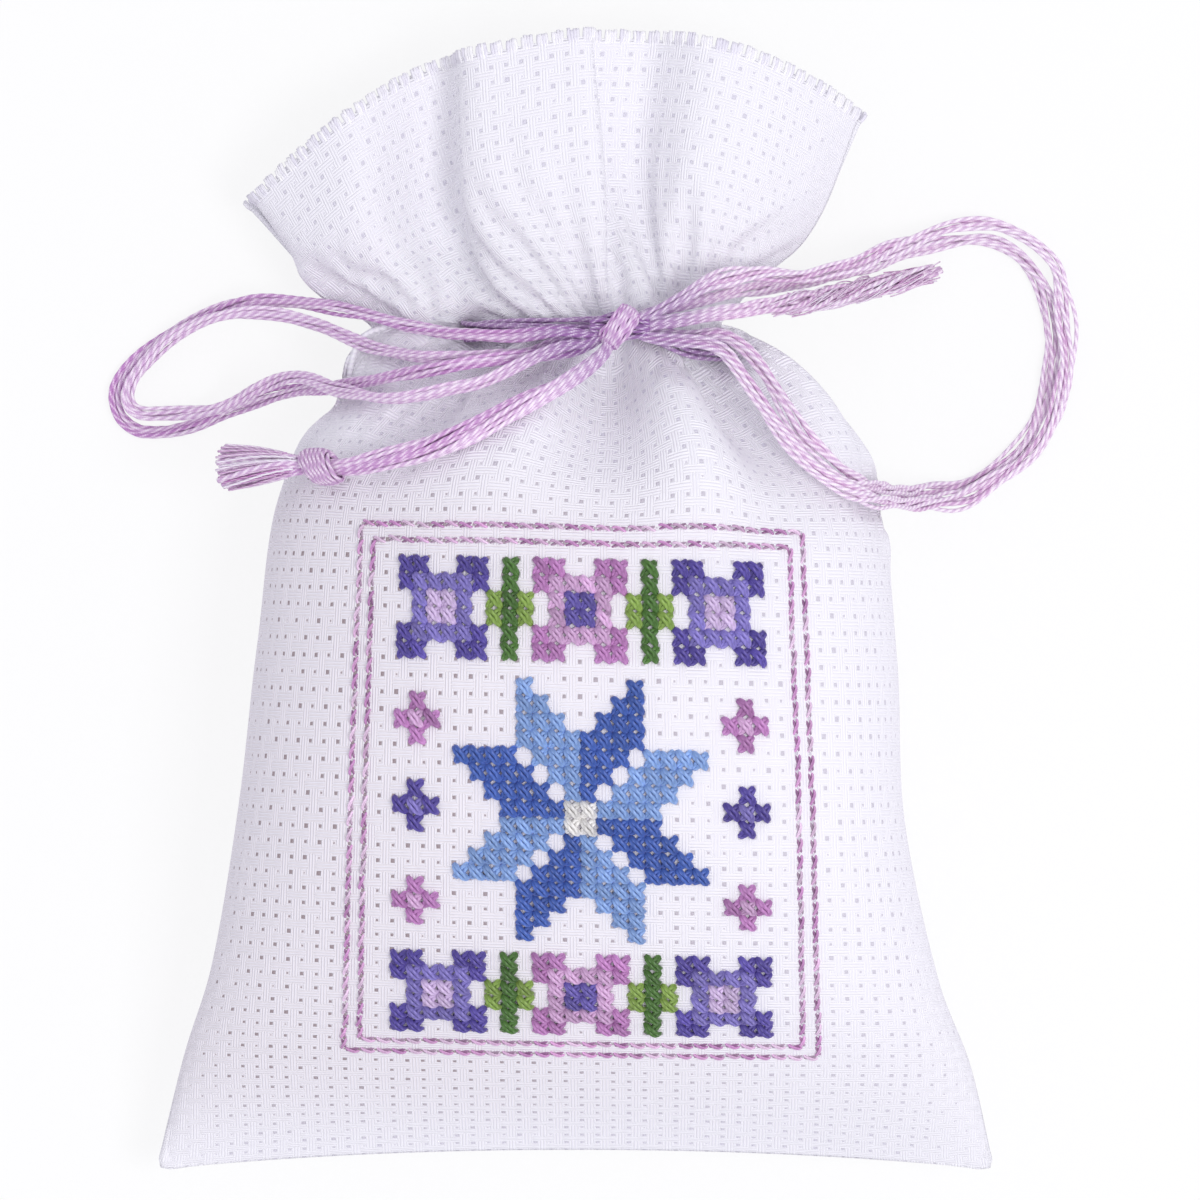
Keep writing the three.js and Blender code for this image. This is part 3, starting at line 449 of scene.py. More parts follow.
# painted shade: the wrap's floss goes part of the way to the colour of floss in the shade of the knot
tints = shadedByKnot(strandTints(leftSide["colours"], wrap["strands"], tie["tintSpread"]), wrap["deep"])
makeTie("neck_wrap_floss", paths, tints, "bag", ["neck_wrap"], upward=(0, 1, 0))
middleLine = np.stack([wrap["halfWidth"] * np.cos(a), falling, wrap["halfHeight"] * np.sin(a)], -1)
cordLines.append(np.array(wrap["centre"]) + middleLine[np.sin(a) > 0.1])

# Knot of the bow: a leaning band of strands round strands that run through from side to side
knot = {
    "strands": 8, "spacing": 0.25, "radius": 1.95, "height": 1.9, "lean": 52, "crown": 0.13, "flare": 0.12,
    "loose": 0.1, "wave": 3.0, "bandStops": 120, "bandShade": 0.15, "sides": 6, "tintSpread": 0.7,
    "core": 16, "coreHalf": 2.6, "coreRadius": 1.4, "coreTaper": 0.6, "coreTwist": 0.25, "coreFlat": 0.9,
    "coreStops": 40, "coreShade": 0.8,
}
lean = np.radians(knot["lean"])
bandWay = np.array([np.cos(lean), np.sin(lean), 0])
bandAcross = np.array([np.sin(lean), -np.cos(lean), 0])
a = np.linspace(0, tau, knot["bandStops"])
k = (np.arange(knot["strands"]) - (knot["strands"] - 1) / 2)[:, None]
crown = 1 - knot["crown"] * (k / k.max()) ** 2
bandSide = k * knot["spacing"] * (1 + knot["flare"] * np.sin(a))
bandSide = bandSide + knot["loose"] * wander(knot["strands"], a, knot["wave"])
bandOut = knot["radius"] * crown * np.cos(a)
bandUp = knot["height"] * crown * np.sin(a)
paths = pivot + bandSide[..., None] * bandAcross + bandOut[..., None] * bandWay
paths = paths + bandUp[..., None] * np.array([0, 0, 1.0])
band = strandSurface(paths, floss["radius"], bandAcross, knot["sides"])
k = np.arange(knot["core"])[:, None]
x = np.linspace(-knot["coreHalf"], knot["coreHalf"], knot["coreStops"])
taper = 1 - knot["coreTaper"] * (x / knot["coreHalf"]) ** 2
rho = knot["coreRadius"] * np.sqrt((k + 0.5) / knot["core"]) * taper
a = k * floss["fillAngle"] + knot["coreTwist"] * x
paths = pivot + np.stack([x + 0 * rho, rho * np.cos(a), knot["coreFlat"] * rho * np.sin(a)], -1)
core = strandSurface(paths, floss["radius"], [0, 0, 1], knot["sides"])
bandCount = band[0].size // 3
points = np.concatenate([band[0].reshape(-1, 3), core[0].reshape(-1, 3)])
faces = band[1] + [[v + bandCount for v in face] for face in core[1]]
# painted shade: band and core strands go part of the way to the colour of floss in the shade of the knot, the
# covered core the most
tints = []
for kind, strands in (("band", knot["strands"]), ("core", knot["core"])):
    shades = shadedByKnot(strandTints(leftSide["colours"], strands, knot["tintSpread"]), knot[kind + "Shade"])
    tints.append(np.repeat(shades, knot[kind + "Stops"] * knot["sides"], axis=0))
makePiece("bow_knot_floss", points, faces, tieFloss, "bag", "tie_floss", ["bow_knot"],
          crown=np.concatenate([band[2].ravel(), core[2].ravel()]), tint=np.concatenate(tints))
print("tie: wrap and knots made")

# Cloth: both panels settle from the bag's own sections, one point for each corner of the woven blocks.
# Rows and columns are counted in blocks; each "over" is the number of rows in which one form becomes another
cloth = {
    "pitch": 1.411, "rows": 82, "columns": 56, "frameFirst": 12, "frameRows": 34, "frameColumns": 30,
    "frameBottom": 9.7, "frameLength": 46.9, "frameCentre": 0.6, "frameHalf": (21.2, 19.4),
    "thickness": 0.45, "fine": 3, "floor": 0.3, "gather": 0.5, "samples": 401, "roundness": 2.3,
    "crestShift": 0.1, "frillOver": 3, "evenOver": 10, "freeOver": 8, "backFold": 0.4, "cornerRadius": 1.6,
    "edgesApart": 0.16,
}
# The mouth curves down to its sides and has one raised lobe, left of its middle
mouth = {"curve": 2.1, "lobe": 0.11, "lobePlace": -0.45, "lobeWidth": 0.18, "lobeFrom": 40}
bottomY = -50.4
# along, width, shift, seam height, rise, drop, sag, tilt, fold depth: near the stations of the solid panels
stations = np.array([
    [0.2, 76.2, 0, 8, 0, 0, 1.8, 0, 0],
    [8.5, 71.2, 0.2, 10.9, 9.61, 8.58, 0, -0.5, 0],
    [17, 65.4, 0, 13, 15.5, 16, 0, -0.7, 0],
    [31.267, 59.9, -0.3, 15, 21, 18, 0, -0.7, 0],
    [45.533, 57.6, 0.2, 15, 21, 18, 0, -0.7, 0],
    [59.8, 53.6, 0.4, 14.4, 17.4, 14.4, 0, -0.5, 0.3],
    [68.2, 42.0, 1, 13.7, 11.2, 10.2, 0, 0, 0.5],
    [74.4, 20.4, 2, 13, 7, 7, 0, 0, 0.7],
    [81, 32.9, 0.5, 10.7, 7.3, 6, 3.108, 1.76, 1.3],
    [87.6, 42.6, 0, 8.4, 8.6, 5.6, 7.4, 3.2, 1.9],
    [100.4, 55.8, -1.8, 6.4, 9.6, 5.2, 10.6, 4.0, 2.6],
])
neckStation = 7
middleStation = 9
# The front of the frill as the photograph shows it, x and z of its folds from the left seam to the right one:
# left lobe, soft valley, tongue with a sharp edge, channel beside it, right lobe
frillMiddle = np.array([
    [-21.3, 8.4], [-20.6, 13.6], [-17.2, 16.4], [-13.0, 11.5], [-10.4, 11.6], [-9.4, 17.0], [-5.0, 18.8],
    [1.2, 18.9], [2.7, 17.6], [2.0, 15.4], [2.9, 14.9], [4.2, 14.3], [5.8, 13.9], [9.8, 17.4], [14.6, 16.9],
    [19.0, 12.6], [21.3, 8.4],
])
frillMouth = np.array([
    [-29.7, 6.4], [-28.8, 10.8], [-20.8, 14.9], [-14.8, 11.2], [-11.6, 11.8], [-9.8, 16.4], [-5.0, 17.6],
    [0.2, 18.0], [1.7, 17.0], [0.9, 15.0], [2.2, 14.6], [4.6, 13.6], [7.0, 13.0], [12.2, 16.2], [17.6, 14.8],
    [22.8, 10.6], [26.1, 6.4],
])
# Where the same folds meet the neck, as shares of the way round its front
frillNeck = np.array([
    0, 0.05, 0.1, 0.17, 0.22, 0.27, 0.38, 0.49, 0.52, 0.555, 0.59, 0.64, 0.68, 0.74, 0.84, 0.93, 1,
])
backFolds = [-0.7, -0.35, 0.05, 0.4, 0.75]
# Pleats through the neck: columns and heights of their crests and valleys, and how deep they are row by row
pleats = {
    "columns": [0, 7, 14, 22, 30.5, 36, 41.5, 49.5, 56],
    "heights": [0, 0.3, -0.7, 0.7, -1.4, 1.9, -1.8, 0.6, 0],
    "backHeights": [0, 0.4, -0.7, 0.8, -0.9, 0.9, -0.8, 0.4, 0],
    "rows": [45, 49, 54, 58, 61, 62.7, 64.5, 67, 70],
    "depths": [0, 0.8, 2.2, 3.2, 3.0, 1.4, 0.6, 0.2, 0],
    "puckers": 9, "puckerHeight": 0.4, "puckerRows": 2.0,
}

rowCount = cloth["rows"]
columnCount = cloth["columns"]
rowNumbers = np.arange(rowCount + 1)
columnNumbers = np.arange(columnCount + 1)
share = np.linspace(0, len(stations) - 1, 2001)
fine = throughPoints(stations, share)
arc = lengthAlong(np.stack([fine[:, 2], fine[:, 0], fine[:, 3] + fine[:, 4]], -1))
frameEnds = np.interp([cloth["frameBottom"], cloth["frameBottom"] + cloth["frameLength"]], fine[:, 0], arc)
frameLast = cloth["frameFirst"] + cloth["frameRows"]
rowArc = np.interp(rowNumbers, [0, cloth["frameFirst"], frameLast, rowCount], [0, *frameEnds, arc[-1]])
rowValues = throughPoints(stations, np.interp(rowArc, arc, share))
along, widthAt, shift, seam, rise, drop, sag, tilt, fold = rowValues.T[:, :, None]
half = widthAt / 2
neckRow = np.interp(stations[neckStation, 0], rowValues[:, 0], rowNumbers)
middleRow = np.interp(stations[middleStation, 0], rowValues[:, 0], rowNumbers)


def roundness(u):  # the bag's section: 1 in the middle, 0 at the seams
    return np.maximum(1 - np.abs(u) ** cloth["roundness"], 0) ** (1 / cloth["roundness"])


def spread(values, at, wanted):  # row by row, the values where the rising measure reaches what is wanted
    apart = 1000.0 * np.arange(len(at))[:, None]  # one rising measure for all the rows together
    return np.interp((wanted + apart).ravel(), (at + apart).ravel(), values.ravel()).reshape(wanted.shape)


def evenColumns(section, wanted):  # points of each row's section at the wanted shares of its length
    length = lengthAlong(section)
    length = length / length[:, -1:]
    return np.stack([spread(section[..., k], length, wanted) for k in range(3)], -1)


u = np.linspace(-1, 1, cloth["samples"])
evenShares = np.broadcast_to(columnNumbers / columnCount, (rowCount + 1, columnCount + 1))


# y of the cloth over a section, with t from -1 at the left seam to 1 at the right one:
# bottom + along + tilt t - sag (|t|^curve - lobe exp(-((t - place) / width)^2)), the lobe only past lobeFrom
def sectionPlace(x):
    t = np.clip((x - shift) / half, -1.05, 1.05)
    lobe = mouth["lobe"] * np.exp(-((t - mouth["lobePlace"]) / mouth["lobeWidth"]) ** 2)
    lower = np.abs(t) ** mouth["curve"] - lobe * (along > mouth["lobeFrom"])
    return bottomY + along + tilt * t - sag * lower


# Front: rounded sections up to the neck, then the drawn folds of the frill
x = shift + half * u
z = seam + rise * roundness(u - cloth["crestShift"] * (1 - u * u))
neckSection = np.stack([x, z], -1)[int(round(neckRow))]
neckArc = lengthAlong(neckSection)
neckPoints = np.stack([np.interp(frillNeck * neckArc[-1], neckArc, neckSection[:, k]) for k in range(2)], -1)
reach = np.clip((rowNumbers - neckRow) / (middleRow - neckRow), 0, 2)
folds = throughPoints(np.stack([neckPoints, frillMiddle, frillMouth]), reach)
foldStops = np.linspace(0, len(frillMouth) - 1, cloth["samples"])
folds = throughPoints(folds.transpose(1, 0, 2), foldStops).transpose(1, 0, 2)
inFrill = smooth((rowNumbers - neckRow + 1) / cloth["frillOver"])[:, None]
x = x + inFrill * (folds[..., 0] - x)
z = z + inFrill * (folds[..., 1] - z)
frontSection = np.stack([x, sectionPlace(x), z], -1)
length = lengthAlong(frontSection)
length = length / length[:, -1:]
frameHalf = np.interp(rowNumbers, [cloth["frameFirst"], frameLast], cloth["frameHalf"])[:, None]
edges = [cloth["frameCentre"] + side * frameHalf for side in (-1, 1)]
edgeShare = np.concatenate([spread(length, frontSection[..., 0], edge) for edge in edges], axis=1)
sideColumns = (columnCount - cloth["frameColumns"]) / 2
stops = [0, sideColumns, columnCount - sideColumns, columnCount]
framed = np.stack([np.interp(columnNumbers, stops, [0, *pair, 1]) for pair in edgeShare])
toEven = smooth((rowNumbers - frameLast) / cloth["evenOver"])[:, None]
frontShares = framed + toEven * (evenShares - framed)
frontGuide = evenColumns(frontSection, frontShares)

# Back: flat where it lies, with shallow folds near the mouth
phase = np.interp(u, backFolds, np.arange(len(backFolds)))
z = seam - drop * roundness(u) + cloth["backFold"] * fold * np.cos(np.pi * phase) * (1 - u ** 4)
x = shift + half * u
backGuide = evenColumns(np.stack([x, sectionPlace(x), np.maximum(z, cloth["floor"])], -1), evenShares)

# Beside the neck the shoulder and the frill bulge towards each other, most on the left: columns of each side,
# row and breadth in rows of each bulge, and how far the cloth moves in x, y and z
bulge = {
    "leftColumns": 24, "rightColumns": 16, "seamColumns": 3,
    "shoulderRow": 59.4, "shoulderRows": 2.2, "shoulderLeft": (-4.4, 3.4), "shoulderRight": (0.9, 0.1),
    "frillRow": 66.4, "frillRows": 2.4, "frillLeft": (-2.5, -3.2, 1.2),
}


def closeNeck(points):
    r, c = rowNumbers[:, None], columnNumbers[None]
    left = smooth((bulge["leftColumns"] - c) / bulge["leftColumns"])
    right = smooth((c - columnCount + bulge["rightColumns"]) / bulge["rightColumns"])
    shoulder = np.exp(-((r - bulge["shoulderRow"]) / bulge["shoulderRows"]) ** 2)
    frill = np.exp(-((r - bulge["frillRow"]) / bulge["frillRows"]) ** 2)
    for k in range(2):
        sides = bulge["shoulderRight"][k] * right + bulge["shoulderLeft"][k] * left
        points[..., k] += sides * shoulder + bulge["frillLeft"][k] * left * frill
    points[..., 2] += bulge["frillLeft"][2] * left * frill * smooth(c / bulge["seamColumns"])


def roundCorners(points):  # the two bottom corners turn on a small radius, seen from above
    radius = cloth["cornerRadius"]
    wide, low = stations[0, 1] / 2, bottomY + stations[0, 0] - stations[0, 6]
    beyond = np.stack([np.abs(points[..., 0]) - wide + radius, low + radius - points[..., 1]], -1)
    far = np.linalg.norm(beyond, axis=-1)
    outside = (beyond > 0).all(axis=-1) & (far > radius)
    shrink = np.where(outside, radius / np.maximum(far, 1e-6), 1.0)[..., None]
    moved = (1 - shrink) * beyond
    points[..., 0] -= np.sign(points[..., 0]) * moved[..., 0]
    points[..., 1] += moved[..., 1]


for guide, away in ((frontGuide, cloth["edgesApart"]), (backGuide, -cloth["edgesApart"])):
    roundCorners(guide)
    closeNeck(guide)
    guide[0, :, 2] += away  # the two cut edges lie one on the other along the bottom seam


def clothNormals(points):  # unit cross product of the two ways along the cloth
    return unit(np.cross(np.gradient(points, axis=1), np.gradient(points, axis=0)))


# Height of the pleats: a smooth line through the crests and valleys, times the depth of the row,
# and small puckers where the tie draws the cloth in
def pleatHeight(heights):
    r, c = rowNumbers[:, None], columnNumbers[None]
    stops = np.interp(columnNumbers, pleats["columns"], np.arange(len(heights)))
    line = throughPoints(np.array(heights), stops)
    depth = np.interp(rowNumbers, pleats["rows"], pleats["depths"])[:, None]
    drawn = np.exp(-((r - neckRow) / pleats["puckerRows"]) ** 2) * np.sin(np.pi * c / columnCount) ** 0.3
    puckers = np.cos(tau * pleats["puckers"] * (c / columnCount + 0.012 * np.sin(0.7 * c)))
    return depth * line + pleats["puckerHeight"] * drawn * puckers


def moveTogether(points, a, b, rest, strength):  # moves both ends of each link towards its length at rest
    way = points[b] - points[a]
    length = np.linalg.norm(way, axis=-1, keepdims=True)
    move = way * (0.5 * strength * (1 - rest[..., None] / np.maximum(length, 1e-6)))
    points[a] += move
    points[b] -= move


def ceilingOver(points, lines, reachOut):  # lowest of the bowls z - r + d^2 / r under the tie's lines
    gap = ((points[..., None, :2] - lines[:, :2]) ** 2).sum(-1)
    under = lines[:, 2] - reachOut + gap / reachOut
    return np.where(gap < 4 * reachOut ** 2, under, 1e3).min(axis=-1)


# Settling: points keep the woven lengths across and along, resist shear and bending, stay near the guide
# where the filling or the tie holds them, above the floor and under the tie
settling = {
    "steps": 420, "momentum": 0.86, "shear": 0.12, "bending": 0.16, "tieEvery": 6, "tieReach": 1.5,
    "softening": 0.35,
}


def settle(guide, restAcross, restAlong, hold, tieLine):
    points = guide.copy()
    before = points.copy()
    every, low, high = slice(None), slice(None, -1), slice(1, None)
    twoLow, twoHigh = slice(None, -2), slice(2, None)
    slant = np.hypot(restAcross[low], restAlong[:, low])
    twoAcross = restAcross[:, low] + restAcross[:, high]
    twoAlong = restAlong[low] + restAlong[high]
    for step in range(settling["steps"]):
        points, before = points + settling["momentum"] * (points - before), points
        for first in (0, 1):
            a, b = slice(first, columnCount, 2), slice(first + 1, columnCount + 1, 2)
            moveTogether(points, (every, a), (every, b), restAcross[:, first::2], 1.0)
            a, b = slice(first, rowCount, 2), slice(first + 1, rowCount + 1, 2)
            moveTogether(points, (a, every), (b, every), restAlong[first::2], 1.0)
        moveTogether(points, (low, low), (high, high), slant, settling["shear"])
        moveTogether(points, (low, high), (high, low), slant, settling["shear"])
        moveTogether(points, (every, twoLow), (every, twoHigh), twoAcross, settling["bending"])
        moveTogether(points, (twoLow, every), (twoHigh, every), twoAlong, settling["bending"])
        points += hold[..., None] * (guide - points)
        points[..., 2] = np.maximum(points[..., 2], cloth["floor"])
        if tieLine is not None and (step + 1) % settling["tieEvery"] == 0:
            points[..., 2] = np.minimum(points[..., 2], ceilingOver(points, tieLine, settling["tieReach"]))
    return points


def softened(points):  # part of the way to the mean of the neighbours, which takes out the grid's own ripple
    mean = (points[:-2, 1:-1] + points[2:, 1:-1] + points[1:-1, :-2] + points[1:-1, 2:]) / 4
    result = points.copy()
    result[1:-1, 1:-1] += settling["softening"] * (mean - points[1:-1, 1:-1])
    return result


# The guide's own lengths where the bag is full, nearer the woven pitch where the cloth is gathered
def restLengths(guide):
    across, lengthwise = (np.linalg.norm(np.diff(guide, axis=k), axis=-1) for k in (1, 0))
    free = smooth((rowNumbers - frameLast) / cloth["freeOver"])[:, None]
    nearSeam = np.abs(2 * columnNumbers / columnCount - 1) ** 4
    slack = cloth["gather"] * free * (1 - nearSeam[1:])
    restAcross = across + slack * (np.maximum(across, cloth["pitch"]) - across)
    restAlong = lengthwise + free[:-1] * (1 - nearSeam) * (np.diff(rowArc)[:, None] - lengthwise)
    return restAcross, restAlong


# How firmly the points keep to the guide, row by row; the seams are sewn down
holdRows = [0, 36, 46, 52, 58, neckRow - 1, neckRow + 1, 67, 72, rowCount]
holdShares = [0.6, 0.4, 0.12, 0.03, 0.03, 0.12, 0.12, 0.06, 0.06, 0.08]
hold = np.repeat(np.interp(rowNumbers, holdRows, holdShares)[:, None], columnCount + 1, axis=1)
hold[:, [0, -1]] = 1.0
hold[0] = 1.0
# The cloth lies under the parts of the tie that pass high over the bag
highTie = 20
tieLine = np.concatenate([line[::5] for line in cordLines if line[:, 2].max() > highTie])
frontPleated = frontGuide + pleatHeight(pleats["heights"])[..., None] * clothNormals(frontGuide)
frontCloth = softened(settle(frontPleated, *restLengths(frontGuide), hold, tieLine))
print("cloth: front settled")
backPleated = backGuide - pleatHeight(pleats["backHeights"])[..., None] * clothNormals(backGuide)
backCloth = softened(settle(backPleated, *restLengths(backGuide), hold, None))
print("cloth: back settled")


def finer(points, times):  # the same smooth sheet with more points both ways
    for way in range(2):
        stops = np.linspace(0, len(points) - 1, (len(points) - 1) * times + 1)
        points = throughPoints(points, stops).transpose(1, 0, 2)
    return points


# Block-woven cotton: bundles of white threads pass over and under by turns, with small holes between blocks
def wovenMaterial(name):
    material, tree, shader = newMaterial(name)
    blocks = addNode(tree, "Attribute", attribute_name="blocks").outputs["Vector"]
    opened = addNode(tree, "Attribute", attribute_name="open").outputs["Fac"]
    backed = addNode(tree, "Attribute", attribute_name="backed").outputs["Fac"]
    waves = []
    for pace, kind in ((tau, "COSINE"), (tau / 2, "SINE"), (tau / 2, "COSINE"), (5 * tau, "COSINE")):
        turned = addNode(tree, "VectorMath", (blocks, (pace, pace, 0)), operation="MULTIPLY")
        wave = addNode(tree, "VectorMath", (turned,), operation=kind)
        waves.append(addNode(tree, "SeparateXYZ", (wave,)).outputs[:2])
    block, centre, corner, thread = waves
    weft = addNode(tree, "Math", centre, operation="MULTIPLY")
    unlike = addNode(tree, "Math", block, operation="SUBTRACT")
    over = addNode(tree, "Math", (weft, 1.2, unlike), operation="MULTIPLY_ADD")
    upper = addNode(tree, "MapRange", (over, -0.35, 0.35, 0.0, 1.0), interpolation_type="SMOOTHSTEP")
    ridge = addNode(tree, "Mix", {0: upper, 2: thread[0], 3: thread[1]}, data_type="FLOAT")
    # Holes of unlike size, where the level is highest: at the block corners; they are painted in the shaded
    # colour seen through them
    level = addNode(tree, "Math", block, operation="MINIMUM")
    byTurns = addNode(tree, "Math", corner, operation="MULTIPLY")
    uneven = addNode(tree, "TexNoise", {"Vector": blocks, "Scale": 0.83, "Detail": 2.0})
    for value, factor in ((byTurns, 0.06), (uneven, 0.8), (opened, 0.3)):
        level = addNode(tree, "Math", (value, factor, level), operation="MULTIPLY_ADD")
    hole = addNode(tree, "MapRange", (level, 1.43, 1.57, 0.0, 1.0), interpolation_type="SMOOTHSTEP")
    shade = addNode(tree, "MapRange", (ridge, 0.2, 1.0, 0.0, 1.0))
    # the ground and the holes are darker and warmer where the filling lies behind, except towards the right,
    # where the lightening is painted light
    ground = addNode(tree, "Mix", {0: backed, 6: colour("#fdfcff"), 7: colour("#f2edf0")}, data_type="RGBA")
    strands = addNode(tree, "Mix", {0: shade, 6: ground.outputs[2], 7: colour("#f4f2f9")}, data_type="RGBA")
    inside = addNode(tree, "Mix", {0: backed, 6: colour("#e2dfea"), 7: colour("#a8999c")}, data_type="RGBA")
    surface = addNode(tree, "Mix", {0: hole, 6: strands.outputs[2], 7: inside.outputs[2]}, data_type="RGBA")
    crossing = addNode(tree, "Math", (over,), operation="ABSOLUTE")
    raised = addNode(tree, "Math", (crossing, 0.35, ridge), operation="MULTIPLY_ADD")
    relief = addNode(tree, "Math", (hole, -2.0, raised), operation="MULTIPLY_ADD")
    bump = addNode(tree, "Bump", {"Strength": 0.6, "Distance": 0.00007, "Height": relief})
    setInputs(tree, shader, {
        "Base Color": surface.outputs[2], "Normal": bump, "Roughness": 0.9, "Specular IOR Level": 0.2,
        "Sheen Weight": 0.1,
    })
    return material


wovenCotton = wovenMaterial("block-woven white cotton")
# The filling seen through darkens the holes and the cloth where the bag is full; towards the lit right
# less so, as painted light. Holes close towards the edges.
# A pair is where the change starts and over how many rows or columns
weave = {
    "fullFrom": (-1, 13), "fullTo": (54, 10), "lit": (16, 30), "litShare": 0.8, "edge": 9,
    "cutEdge": (0.2, 0.6),
}


def makePanel(name, points, outward):
    grid = finer(points, cloth["fine"])
    rows, columns = grid.shape[:2]
    r, c = np.meshgrid(np.arange(rows) / cloth["fine"], np.arange(columns) / cloth["fine"], indexing="ij")
    faces = gridFaces(rows, columns)[:, ::outward].tolist()
    blocks = np.stack([c, r, 0 * r], -1).reshape(-1, 3)
    full = smooth((r - weave["fullFrom"][0]) / weave["fullFrom"][1])
    full = full * smooth((weave["fullTo"][0] - r) / weave["fullTo"][1])
    backed = full * (1 - weave["litShare"] * smooth((c - weave["lit"][0]) / weave["lit"][1]))
    opened = smooth((c + 1) / weave["edge"]) * smooth((columnCount + 1 - c) / weave["edge"])
    opened = opened * smooth((rowCount - weave["cutEdge"][0] - r) / weave["cutEdge"][1])
    panel = makePiece(name + "_cloth", grid, faces, wovenCotton, "bag", "cloth", [name],
                      blocks=blocks, backed=backed.ravel(), open=opened.ravel())
    wall = panel.modifiers.new("thickness", "SOLIDIFY")
    wall.thickness = cloth["thickness"] * millimetre
    wall.offset = -1
    return panel


frontPanel = makePanel("front_panel", frontCloth, 1)
backPanel = makePanel("back_panel", backCloth, -1)
print("cloth: panels made")

# Where stitches lie: on the settled front, between the four nearest points of a finer cloth, along its normal
stitchGrid = 8
frontFine = finer(frontCloth, stitchGrid)
frontNormals = clothNormals(frontFine)


def onCloth(column, row, lift):
    i = np.clip((row * stitchGrid).astype(int), 0, len(frontFine) - 2)
    j = np.clip((column * stitchGrid).astype(int), 0, frontFine.shape[1] - 2)
    a = (row * stitchGrid - i)[..., None]
    b = (column * stitchGrid - j)[..., None]
    corners = ((0, 0, (1 - a) * (1 - b)), (1, 0, a * (1 - b)), (0, 1, (1 - a) * b), (1, 1, a * b))
    place = sum(frontFine[i + m, j + n] * w for m, n, w in corners)
    normal = sum(frontNormals[i + m, j + n] * w for m, n, w in corners)
    return place + lift[..., None] * unit(normal)


# A stitch from hole to hole: straight over the blocks, sinking at both ends, -sink + height sin(pi s)^0.5,
# its two strands parting by side sin(pi s)^0.5, or crossing by side cos(pi s) with one over the other
stitch = {
    "radius": 0.21, "lineRadius": 0.14, "stops": 8, "sides": 5, "sink": 0.3, "height": 0.56, "upper": 0.26,
    "lineUpper": -0.5, "part": 0.135, "over": 0.1, "uneven": 0.03, "unlike": 0.1, "underOverShade": (0.6, 1.12),
}


def stitchPaths(start, way, upper, crossed=False):
    s = np.linspace(0, 1, stitch["stops"])
    arch = np.sin(np.pi * s) ** 0.5
    start = start[:, None, None] + stitch["uneven"] * chance.standard_normal((len(start), 1, 1, 2))
    way = way[:, None, None]
    strand = np.array([-1, 1])[:, None]
    side = unit(np.stack([-way[..., 1], way[..., 0]], -1)) * stitch["part"] * strand[..., None]
    place = start + way * s[:, None] + side * (np.cos(np.pi * s) if crossed else arch)[:, None]
    lift = -stitch["sink"] + (stitch["height"] + upper[:, None, None] * stitch["upper"]) * arch
    lift = np.broadcast_to(lift + crossed * stitch["over"] * strand * arch, place.shape[:-1])
    return onCloth(place[..., 0], place[..., 1], lift).reshape(-1, stitch["stops"], 3)


def unlikeTints(codes, count):  # a colour for each stitch and its strands, a little unlike its neighbours
    tints = np.array([linearColour(code) for code in codes])
    return np.repeat(tints * (1 + stitch["unlike"] * chance.standard_normal((len(tints), 1))), count, axis=0)


def sewMotif(node, slot, paths, tints, radius):
    makeStrands(node + "_floss", paths, tints, radius, [0, 0, 1], stitchFloss, "bag", slot, [node],
                stitch["sides"])


def crossStitches(node, slot, cells, codes):  # two slanting stitches over each block, the second on the first
    cells = np.array(cells, float) + [columnCount / 2, cloth["frameFirst"]]
    start = np.concatenate([cells + [0, 0], cells + [1, 0]])
    way = np.repeat([[1.0, 1.0], [-1.0, 1.0]], len(cells), axis=0)
    paths = stitchPaths(start, way, np.repeat([0.0, 1.0], len(cells)))
    tints = np.concatenate([unlikeTints(codes, 2), unlikeTints(codes, 2)])
    sewMotif(node, slot, paths, tints, stitch["radius"])


def backStitches(node, inset):  # one stitch a block round a rectangle: the two rows, then the two columns
    halfColumns = cloth["frameColumns"] / 2 - inset
    low, high = inset, cloth["frameRows"] - inset
    c = np.arange(-halfColumns, halfColumns)
    r = np.arange(low, high)
    rows = [np.stack([c, 0 * c + end], -1) for end in (low, high)]
    columns = [np.stack([0 * r + end, r], -1) for end in (-halfColumns, halfColumns)]
    start = np.concatenate(rows + columns) + [columnCount / 2, cloth["frameFirst"]]
    way = np.repeat([[1.0, 0.0], [0.0, 1.0]], [2 * len(c), 2 * len(r)], axis=0)
    paths = stitchPaths(start, way, np.full(len(start), stitch["lineUpper"]), True)
    tints = unlikeTints(chance.choice(frameCodes, len(start)), 2)
    # painted shade and light: the lower strand of each crossed pair is darker, the upper one lighter
    tints = tints * np.tile(stitch["underOverShade"], len(start))[:, None]
    sewMotif(node, "frame_floss", paths, tints, stitch["lineRadius"])


# Embroidery: the same counted blocks as the plates, columns from the middle, rows from the frame's outer line
frameCodes = ["#d49fcc", "#e0b8da", "#c88fc2", "#e8cbe4"]
embroidery = {
    "deep": "#4a6bbd", "pale": "#8fb1e6", "white": "#f7f5f0", "violet": ("#5d50a5", "#8a7fc9", "#d9c2e6"),
    "pink": ("#c487c2", "#dcb2da", "#6f62b4"), "green": ("#4f7a35", "#8fb052"),
}
backStitches("frame_outer_stitches", 0)
backStitches("frame_inner_stitches", 1)
starMiddle = cloth["frameRows"] // 2
for direction in range(8):
    steep, right, up = direction % 2 == 0, direction < 4, direction % 4 < 2
    cells = [(i, i + b) if steep else (i + b, i) for i in range(4) for b in range(1, 5)]
    cells = [(x if right else -1 - x, starMiddle + (y if up else -1 - y)) for x, y in cells]
    deep = (direction + direction // 2 + direction // 4) % 2 == 0
    codes = [embroidery["deep" if deep else "pale"]] * len(cells)
    slot = "deep_blue_floss" if deep else "pale_blue_floss"
    crossStitches(f"star_petal_{direction + 1}", slot, cells, codes)
cells = [(x, starMiddle + y) for x in (-1, 0) for y in (-1, 0)]
